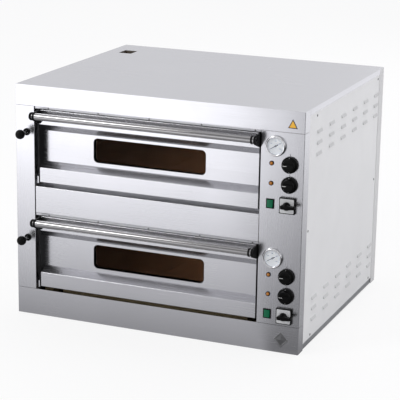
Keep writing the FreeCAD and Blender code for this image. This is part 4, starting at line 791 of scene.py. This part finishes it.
def stored(graph, name, kind):
    """The value that a named attribute holds; of the node's like-named outputs, only the one for its type works."""
    node = graph.add("GeometryNodeInputNamedAttribute", {"Name": name}, data_type=kind)
    return next(output for output in node.outputs if output.enabled and output.name == "Attribute")


def spread(graph, result, points, piece, rotation, scale, material):
    """Put a piece on every point, make the copies real, paint them and send them out of the tree."""
    copies = graph.add(
        "GeometryNodeInstanceOnPoints", {"Points": points, "Instance": piece, "Rotation": rotation, "Scale": scale}
    )
    real = graph.add("GeometryNodeRealizeInstances", {"Geometry": copies.outputs[0]})
    painted = graph.add("GeometryNodeSetMaterial", {"Geometry": real.outputs[0], "Material": material})
    graph.feed(result["Geometry"], painted.outputs[0])


def screw_tree(material):
    """A tree that puts a domed head with a cross recess on every point."""
    group, graph, given, result = new_group(
        "screw_heads",
        "GeometryNodeTree",
        [
            ("Geometry", "NodeSocketGeometry", None),
            ("Dome", FLOAT, 0.36),
            ("Slot Width", FLOAT, 0.22),
            ("Seed", "NodeSocketInt", 7),
        ],
        [("Geometry", "NodeSocketGeometry")],
    )
    ball = graph.add("GeometryNodeMeshUVSphere", {"Segments": 36, "Rings": 18, "Radius": 1.0})
    flat = graph.vector(1.0, 1.0, given["Dome"])
    dome = graph.add("GeometryNodeTransform", {"Geometry": ball.outputs["Mesh"], "Scale": flat})
    cuts = []
    for sides in ((1.1, given["Slot Width"]), (given["Slot Width"], 1.1)):
        bar = graph.add("GeometryNodeMeshCube", {"Size": graph.vector(*sides, 0.5)})
        cuts.append(graph.add("GeometryNodeTransform", {"Geometry": bar.outputs["Mesh"], "Translation": (0, 0, 0.4)}))
    under = graph.add("GeometryNodeMeshCube", {"Size": (3.0, 3.0, 2.0)})
    cuts.append(graph.add("GeometryNodeTransform", {"Geometry": under.outputs["Mesh"], "Translation": (0, 0, -1.0)}))
    head = graph.add("GeometryNodeMeshBoolean", {"Mesh 1": dome.outputs[0]}, operation="DIFFERENCE")
    for cut in cuts:
        graph.tree.links.new(cut.outputs[0], head.inputs["Mesh 2"])
    facing = stored(graph, "facing", "FLOAT_VECTOR")
    size = stored(graph, "size", "FLOAT")
    aimed = graph.add("FunctionNodeAlignRotationToVector", {"Vector": facing}, axis="Z")
    spin = graph.add("FunctionNodeRandomValue", {"Seed": given["Seed"]}, data_type="FLOAT")
    spin.inputs[2].default_value, spin.inputs[3].default_value = 0.0, math.pi
    turn = graph.add("FunctionNodeAxisAngleToRotation", {"Axis": (0, 0, 1), "Angle": spin.outputs[1]})
    both_turns = graph.add(
        "FunctionNodeRotateRotation", {"Rotation": aimed.outputs[0], "Rotate By": turn.outputs[0]},
        rotation_space="LOCAL",
    )
    spread(graph, result, given["Geometry"], head.outputs["Mesh"], both_turns.outputs[0], size, material)
    return group


screw_heads = screw_tree(zinc)
print("screw tree has", len(screw_heads.nodes), "nodes")

# %% [markdown]
# ## From a tree to a plain mesh
#
# A Nodes modifier keeps a mesh live, but the finished piece has to be plain. So the tree's inputs are set, the result
# is copied out, and the modifier is taken off. Merging the points afterwards closes the seams that the tree leaves.

# %% Grow the screws


def grown(name, seed_mesh, tree, settings):
    """The plain mesh that a Geometry Nodes tree grows from a seed mesh."""
    piece = new_object(name, seed_mesh)
    modifier = piece.modifiers.new("grow", "NODES")
    modifier.node_group = tree
    sockets = {item.name: item.identifier for item in tree.interface.items_tree if item.in_out == "INPUT"}
    for key, value in settings.items():
        modifier[sockets[key]] = value
    evaluated = piece.evaluated_get(bpy.context.evaluated_depsgraph_get())
    result = bpy.data.meshes.new_from_object(evaluated)
    piece.modifiers.clear()
    piece.data = result
    return piece


def settle(piece):
    """Merged points, outward faces, and smooth shading with sharp edges kept."""
    work = bmesh.new()
    work.from_mesh(piece.data)
    bmesh.ops.remove_doubles(work, verts=work.verts, dist=0.0000005)
    bmesh.ops.recalc_face_normals(work, faces=work.faces)
    for face in work.faces:
        face.smooth = True
    work.to_mesh(piece.data)
    work.free()
    piece.data.set_sharp_from_angle(angle=math.radians(32))
    return piece


screw_seed = bpy.data.meshes.new("screw_points")
facings, sizes, places = [], [], []
for low, high in screw_boxes:
    span, centre = high - low, (low + high) / 2
    thin = min(range(3), key=lambda axis: span[axis])
    outward = Vector((0, 0, 0))
    outward[thin] = 1.0 if centre[thin] > 0 else -1.0
    places.append(centre - outward * span[thin] / 2)
    facings.append(outward)
    sizes.append(max(span) / 2)
screw_seed.from_pydata([tuple(place) for place in places], [], [])
screw_seed.attributes.new("facing", "FLOAT_VECTOR", "POINT")
screw_seed.attributes.new("size", "FLOAT", "POINT")
for index, (outward, size) in enumerate(zip(facings, sizes)):
    screw_seed.attributes["facing"].data[index].vector = outward
    screw_seed.attributes["size"].data[index].value = size
screw_looks = {"Dome": 0.36, "Slot Width": 0.22, "Seed": 7}
screws = settle(grown("cross_recess_screws", screw_seed, screw_heads, screw_looks))
finish_piece(screws, owner_of("panel_screws"), "panel_screws")
print(len(places), "screws,", len(screws.data.polygons), "faces")

# %% [markdown]
# ## A tree for dial scales
#
# A thermometer's scale is a fan of short lines, longer at every fifth. They could be drawn by hand one by one, but a
# rule makes them all: Geometry Nodes lays a line of points, bends it round the dial by each point's index, and puts a
# thin bar on each.

# %% Plan the dial scales


def tick_tree(material):
    """A tree that lays a fan of bars, with a longer and wider one at every Major Every."""
    group, graph, given, result = new_group(
        "dial_ticks",
        "GeometryNodeTree",
        [
            ("Geometry", "NodeSocketGeometry", None),
            ("Count", "NodeSocketInt", 41),
            ("Start", FLOAT, 0.0),
            ("Sweep", FLOAT, 4.0),
            ("Radius", FLOAT, 0.02),
            ("Length", FLOAT, 0.003),
            ("Width", FLOAT, 0.0004),
            ("Major Every", "NodeSocketInt", 5),
        ],
        [("Geometry", "NodeSocketGeometry")],
    )
    line = graph.add("GeometryNodeMeshLine", {"Count": given["Count"], "Offset": (0.001, 0, 0)})
    index = graph.add("GeometryNodeInputIndex").outputs[0]
    last = graph.minus(given["Count"], 1.0)
    share = graph.maths("DIVIDE", index, last)
    angle = graph.minus(given["Start"], graph.times(share, given["Sweep"]))
    major = graph.maths("LESS_THAN", graph.maths("MODULO", index, given["Major Every"]), 0.5)
    long = graph.times(given["Length"], graph.plus(0.5, graph.times(major, 0.5)))
    middle = graph.minus(given["Radius"], graph.times(long, 0.5))
    across = graph.times(middle, graph.maths("COSINE", angle))
    upward = graph.times(middle, graph.maths("SINE", angle))
    place = graph.vector(across, 0.0, upward)
    bent = graph.add("GeometryNodeSetPosition", {"Geometry": line.outputs[0], "Position": place})
    bar = graph.add("GeometryNodeMeshCube", {"Size": (1.0, 1.0, 1.0)})
    wide = graph.times(given["Width"], graph.plus(0.6, graph.times(major, 0.6)))
    size = graph.vector(long, 0.00006, wide)
    tilt = graph.vector(0.0, graph.times(angle, -1.0), 0.0)
    turned_by = graph.add("FunctionNodeEulerToRotation", {0: tilt})
    spread(graph, result, bent.outputs[0], bar.outputs["Mesh"], turned_by.outputs[0], size, material)
    return group


ticks = tick_tree(black_print)
print("tick tree has", len(ticks.nodes), "nodes")

# %% [markdown]
# ## Printing the dials
#
# The numbers are plain text curves turned into meshes, and the ticks come from the tree. Both are printed films, so
# they stand only a few hundredths of a millimetre off the dial. All the print is joined into one piece, because it
# shares one finish and never moves on its own.

# %% Print the dials
SCALE_START = math.radians(211.7)
SCALE_SWEEP = math.radians(240.0)
SCALE_TICKS = 41
DIAL_RADIUS = 0.0250
NUMBER_REACH = 0.62 * DIAL_RADIUS
FILM = 0.00003


def join_meshes(name, pieces, material):
    """One object from several mesh pieces that share a finish."""
    work = bmesh.new()
    for piece in pieces:
        work.from_mesh(piece.data)
        bpy.data.objects.remove(piece)
    return piece_from(work, name, material)


def text_piece(words, height, centre, material):
    """Upright text in the XZ plane, facing -Y, with its middle at centre."""
    curve = bpy.data.curves.new(f"text_{words}", "FONT")
    curve.body = words
    curve.size = height
    curve.extrude = FILM
    curve.align_x = "CENTER"
    curve.align_y = "CENTER"
    source = new_object(f"text_{words}", curve)
    mesh = bpy.data.meshes.new_from_object(source.evaluated_get(bpy.context.evaluated_depsgraph_get()))
    bpy.data.objects.remove(source)
    mesh.transform(Matrix.Translation(centre) @ Matrix.Rotation(math.pi / 2, 4, "X"))
    mesh.materials.clear()
    mesh.materials.append(material)
    return new_object(f"text_{words}", mesh)


tick_looks = {
    "Count": SCALE_TICKS, "Start": SCALE_START, "Sweep": SCALE_SWEEP, "Radius": 0.93 * DIAL_RADIUS,
    "Length": 0.0036, "Width": 0.00042, "Major Every": 5,
}
print_pieces = []
dial_boxes = island_boxes("thermometer_dials")
for index, (low, high) in enumerate(dial_boxes):
    centre = Vector(((low.x + high.x) / 2, low.y - FILM, (low.z + high.z) / 2))
    fan = grown(f"dial_fan_{index}", bpy.data.meshes.new("dial_seed"), ticks, tick_looks)
    fan.data.transform(Matrix.Translation(centre))
    print_pieces.append(fan)
    for step, number in enumerate(("0", "100", "200", "300", "400")):
        angle = SCALE_START - SCALE_SWEEP * step / 4
        spot = centre + NUMBER_REACH * Vector((math.cos(angle), 0, math.sin(angle)))
        print_pieces.append(text_piece(number, 0.0042, spot, black_print))
dial_print = join_meshes("dial_scales", print_pieces, black_print)
finish_piece(dial_print, owner_of("thermometer_dials"), slot="needle_black")
print("dial scales:", len(dial_boxes), "with", SCALE_TICKS, "ticks each")

# %% [markdown]
# ## Knobs and their marks
#
# A heat knob is a black moulding: a ribbed skirt and a bar to grip. The fine ribs are pressed into the skirt's side
# by the lathe's flute function, and the bar is a stack of outlines that shrink toward the top. White print on the
# skirt and along the bar shows where the knob points, and a mark on the panel above it shows where zero is. Print on
# a knob turns with the knob; print on the panel stays.

# %% Shape the knobs
KNOB_RADIUS = 0.025
KNOB_BORE = 0.00305
RIB_DEPTH = 0.00045
RIB_COUNT = 48
SKIRT = [
    (0.0, 0.0163), (KNOB_BORE, 0.0163), (KNOB_BORE, 0.0), (KNOB_RADIUS - 0.0012, 0.0), (KNOB_RADIUS, 0.0010),
    (KNOB_RADIUS, 0.0030), (KNOB_RADIUS, 0.0052), *lip(KNOB_RADIUS, 0.0078, 0.0022)[1:],
    (0.0205, 0.0080), (0.0196, 0.0086), (0.0186, 0.0150), *lip(0.0183, 0.0172, 0.0018)[1:],
    (0.0130, 0.0170), (0.0, 0.0170),
]
GRIP = [
    (-0.018, -0.0043), (-0.018, 0.0043), (0.0, 0.0056), (0.018, 0.0043), (0.018, -0.0043), (0.0, -0.0056),
]
GRIP_FOOT = 0.0168
SKIRT_PRINT = 0.0079
PRINT_REACH = 0.0216
INK = 0.00004


def skirt_ribs(angle, radius):
    """How far a rib's valley lies inside the skirt at this angle."""
    if radius < KNOB_RADIUS - 0.0004:
        return 0.0
    return RIB_DEPTH * (0.5 + 0.5 * math.cos(RIB_COUNT * angle))


def print_bar(work, centre, length, width, angle):
    """A printed bar on a plane that faces -Y, with its middle at centre."""
    spun = Matrix.Translation(centre) @ Matrix.Rotation(-angle, 4, "Y")
    sized = Matrix.Diagonal((length, 3 * INK, width, 1.0))
    bmesh.ops.create_cube(work, size=1.0, matrix=spun @ sized)


def stacked(rows):
    """A closed shape from nested outlines: each row is (y, [(x, z), ...]), from the back to the front."""
    work = bmesh.new()
    loops = [[work.verts.new((x, y, z)) for x, z in outline] for y, outline in rows]
    work.faces.new(loops[0])
    for below, above in zip(loops, loops[1:]):
        for step, corner in enumerate(below):
            ring = (corner, below[step - 1], above[(step - 1) % len(above)], above[step % len(above)])
            work.faces.new(list(dict.fromkeys(ring)))
    if len(loops[-1]) > 1:
        work.faces.new(loops[-1][::-1])
    return work


panel_marks = bmesh.new()
for deck in DECKS:
    for which in ("top_heat", "bottom_heat"):
        node = f"{deck}_{which}_knob"
        owner = owner_of(node)
        low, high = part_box(node)
        centre = Vector(((low.x + high.x) / 2, high.y, (low.z + high.z) / 2))
        dial = piece_from(turn_outline(SKIRT, centre, steps=288, flute=skirt_ribs), f"{node}_turned", bakelite)
        top = low.y + 0.00015
        levels = ((centre.y - GRIP_FOOT, 1.0), (top + 0.0009, 0.985), (top + 0.0003, 0.95), (top, 0.90))
        rows = [(y, [(centre.x + x * share, centre.z + z * share) for x, z in GRIP]) for y, share in levels]
        bar = piece_from(stacked(rows), f"{node}_grip", bakelite)
        marks = bmesh.new()
        print_bar(marks, Vector((centre.x - 0.0100, top - INK, centre.z)), 0.0120, 0.0012, 0.0)
        for across, up, turned in ((0, 1, math.pi / 2), (0, -1, math.pi / 2), (-1, 0, 0.0)):
            spot = centre + Vector((across * PRINT_REACH, -SKIRT_PRINT, up * PRINT_REACH))
            print_bar(marks, spot, 0.0024, 0.0011, turned)
        mark = piece_from(marks, f"{node}_marks", white_print)
        finish_piece(settle(dial), owner, node)
        finish_piece(bar, owner, slot=slot_of[node])
        finish_piece(mark, owner, slot="dial_white")
        spot = Vector((centre.x, FRONT_FACE - INK, centre.z + 0.0300))
        print_bar(panel_marks, spot, 0.0050, 0.0014, math.pi / 2)
panel_print = piece_from(panel_marks, "panel_index_marks", black_print)
finish_piece(panel_print, owner_of("control_panel"), slot="needle_black")
print("knobs turned; ribs", RIB_COUNT, "per skirt")

# %% [markdown]
# ## Thermometer bezels
#
# The bezel is a spun chrome ring that holds the lens over the dial, and its rounded lip gathers reflections into a
# bright arc. It is turned on the same lathe with many steps, because a polished ring shows every corner.

# %% Turn the bezels


def joined_loops(loops, name, material):
    """One piece from several turned loops."""
    work = bmesh.new()
    for loop in loops:
        part = bpy.data.meshes.new("loop")
        loop.to_mesh(part)
        loop.free()
        work.from_mesh(part)
        bpy.data.meshes.remove(part)
    return settle(piece_from(work, name, material))


bezels = []
for low, high in island_boxes("thermometer_cases"):
    stem = high.y - FRONT_FACE
    ring = [(0.0, 0.0018), (0.0253, 0.0018), (0.0253, 0.0074), (0.0258, 0.0083), (0.0268, 0.0089), (0.0280, 0.0090)]
    ring += lip(0.0315, 0.0090, 0.0034)[::-1][1:] + [(0.0315, 0.0), (0.0100, 0.0), (0.0100, -stem), (0.0, -stem)]
    bezels.append(turn_outline(ring, on_panel(low, high), steps=160))
bezel_rings = joined_loops(bezels, "thermometer_bezels", chrome)
finish_piece(bezel_rings, owner_of("thermometer_cases"), "thermometer_cases")
print("bezels turned:", len(bezels))

# %% [markdown]
# ## Grommets and lamp rings
#
# A black grommet guides each damper rod through the post, with a little clearance round the rod. A pilot lamp is an
# amber cap held by a thin black ring. Both are small turned rings, so they come off the same lathe, and an outline
# that ends where it began makes a ring with a hole.

# %% Turn the grommets and rings
ROD_HOLE = 0.004 + 0.0012
GROMMET_RADIUS = 0.0115
RING_RADIUS = 0.0072
RING_HOLE = 0.0050

grommets = []
for deck in DECKS:
    collar = [(ROD_HOLE, 0.0), (ROD_HOLE, 0.0042), (ROD_HOLE + 0.0010, 0.0052)]
    collar += lip(GROMMET_RADIUS, 0.0052, 0.0030)[::-1] + [(GROMMET_RADIUS, 0.0), (ROD_HOLE, 0.0)]
    grommets.append(turn_outline(collar, on_panel(*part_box(f"{deck}_damper_knob")), steps=64))
rod_grommets = joined_loops(grommets, "damper_rod_grommets", bakelite)
finish_piece(rod_grommets, owner_of("left_front_post"), slot="black_bakelite")

rings = []
for low, high in island_boxes("pilot_lamps"):
    ring = [(RING_HOLE, 0.0014), (RING_HOLE, 0.0022)] + lip(RING_RADIUS, 0.0026, 0.0008)[::-1]
    ring += [(RING_RADIUS, 0.0), (0.0066, 0.0), (0.0066, 0.0014), (RING_HOLE, 0.0014)]
    rings.append(turn_outline(ring, on_panel(low, high), steps=64))
lamp_rings = joined_loops(rings, "pilot_lamp_rings", bakelite)
finish_piece(lamp_rings, owner_of("pilot_lamps"), slot="black_bakelite")
print("grommets:", len(grommets), "lamp rings:", len(rings))

# %% [markdown]
# ## Switch faces
#
# The main switch's softened block is painted black, so that its sides read dark, and a thin grey plate with round
# corners is laid on its face and leaves a dark rim all round.

# %% Lay the switch faces
PLATE_SIDE = 0.0435
PLATE_THICKNESS = 0.0004
PLATE_MIDDLE = FRONT_FACE - 0.01018

plates = bmesh.new()
for low, high in island_boxes("main_switches"):
    middle = Vector(((low.x + high.x) / 2, PLATE_MIDDLE, (low.z + high.z) / 2))
    sized = Matrix.Diagonal((PLATE_SIDE, PLATE_THICKNESS, PLATE_SIDE, 1.0))
    bmesh.ops.create_cube(plates, size=1.0, matrix=Matrix.Translation(middle) @ sized)
    bmesh.ops.bevel(
        plates, geom=[edge for edge in plates.edges if abs(edge.verts[0].co.y - edge.verts[1].co.y) > 0.0003],
        offset=0.003, segments=6, affect="EDGES", profile=0.5,
    )
switch_faces = piece_from(plates, "main_switch_faces", switch_plastic)
finish_piece(switch_faces, owner_of("main_switches"), slot="switch_grey")
for place in softened["main_switches"].material_slots:
    place.material = bakelite
print("switch faces:", len(switch_faces.data.polygons), "faces")

# %% [markdown]
# ## Badge and sign
#
# The badge is a plain cast diamond whose facets catch the light differently, and the sign is a yellow triangle
# printed over a black one. Both are stacks of outlines, as the knobs' grips are. Here the faces stay flat-shaded, so
# that every facet shows.

# %% Shape the badge and the sign
low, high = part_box("emblem_plate")
badge_middle, badge_half = (low + high) / 2, (high - low) / 2


def diamond(share):
    """The badge's outline, drawn in toward its middle."""
    x, z, wide, tall = badge_middle.x, badge_middle.z, badge_half.x * share, badge_half.z * share
    return [(x - wide, z), (x, z + tall), (x + wide, z), (x, z - tall)]


badge_rows = [
    (high.y, diamond(1.0)), (high.y - 0.0008, diamond(1.0)), (high.y - 0.0014, diamond(0.90)),
    (high.y - 0.0006, diamond(0.74)), (high.y - 0.0022, [(badge_middle.x, badge_middle.z)]),
]
badge = piece_from(stacked(badge_rows), "faceted_badge", badge_metal)
finish_piece(badge, owner_of("emblem_plate"), "emblem_plate")

low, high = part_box("triangle_sign")
sign_centre = Vector(((low.x + high.x) / 2, 0, low.z + (high.z - low.z) / 3))


def triangle(share):
    """The sign's outline, drawn in toward its middle."""
    corners = [(low.x, low.z), (sign_centre.x, high.z), (high.x, low.z)]
    middle_x, middle_z = sign_centre.x, sign_centre.z
    return [(middle_x + (x - middle_x) * share, middle_z + (z - middle_z) * share) for x, z in corners]


border = piece_from(stacked([(high.y, triangle(1.0)), (low.y, triangle(1.0))]), "sign_border", black_print)
finish_piece(border, owner_of("triangle_sign"), "triangle_sign", slot="needle_black")
field_rows = [(low.y, triangle(0.74)), (low.y - 0.0001, triangle(0.73))]
field = piece_from(stacked(field_rows), "sign_field", yellow_film)
finish_piece(field, owner_of("triangle_sign"), slot="sign_yellow")
print("badge and sign shaped")

# %% [markdown]
# ## Light inside the chambers
#
# Through the dark glass a viewer sees a little of the hearth stones. On the real oven a small lamp at the side lights
# them. A weak, warm lamp in each chamber does the same here, and it also keeps the open oven from being a black hole.

# %% Light the chambers
for low, high in island_boxes("oven_lamps"):
    glow_place = (low.x - 0.05, (low.y + high.y) / 2 - 0.02, (low.z + high.z) / 2 - 0.07)
    warm = soft_light(f"chamber_glow_{round(low.z * 1000)}", glow_place, 0.03, 1.5, kind="POINT")
    warm.data.color = (1.0, 0.80, 0.60)
print("chamber lamps lit")

# %% [markdown] ## Last words The visual pieces have to stay inside the CAD model's box.
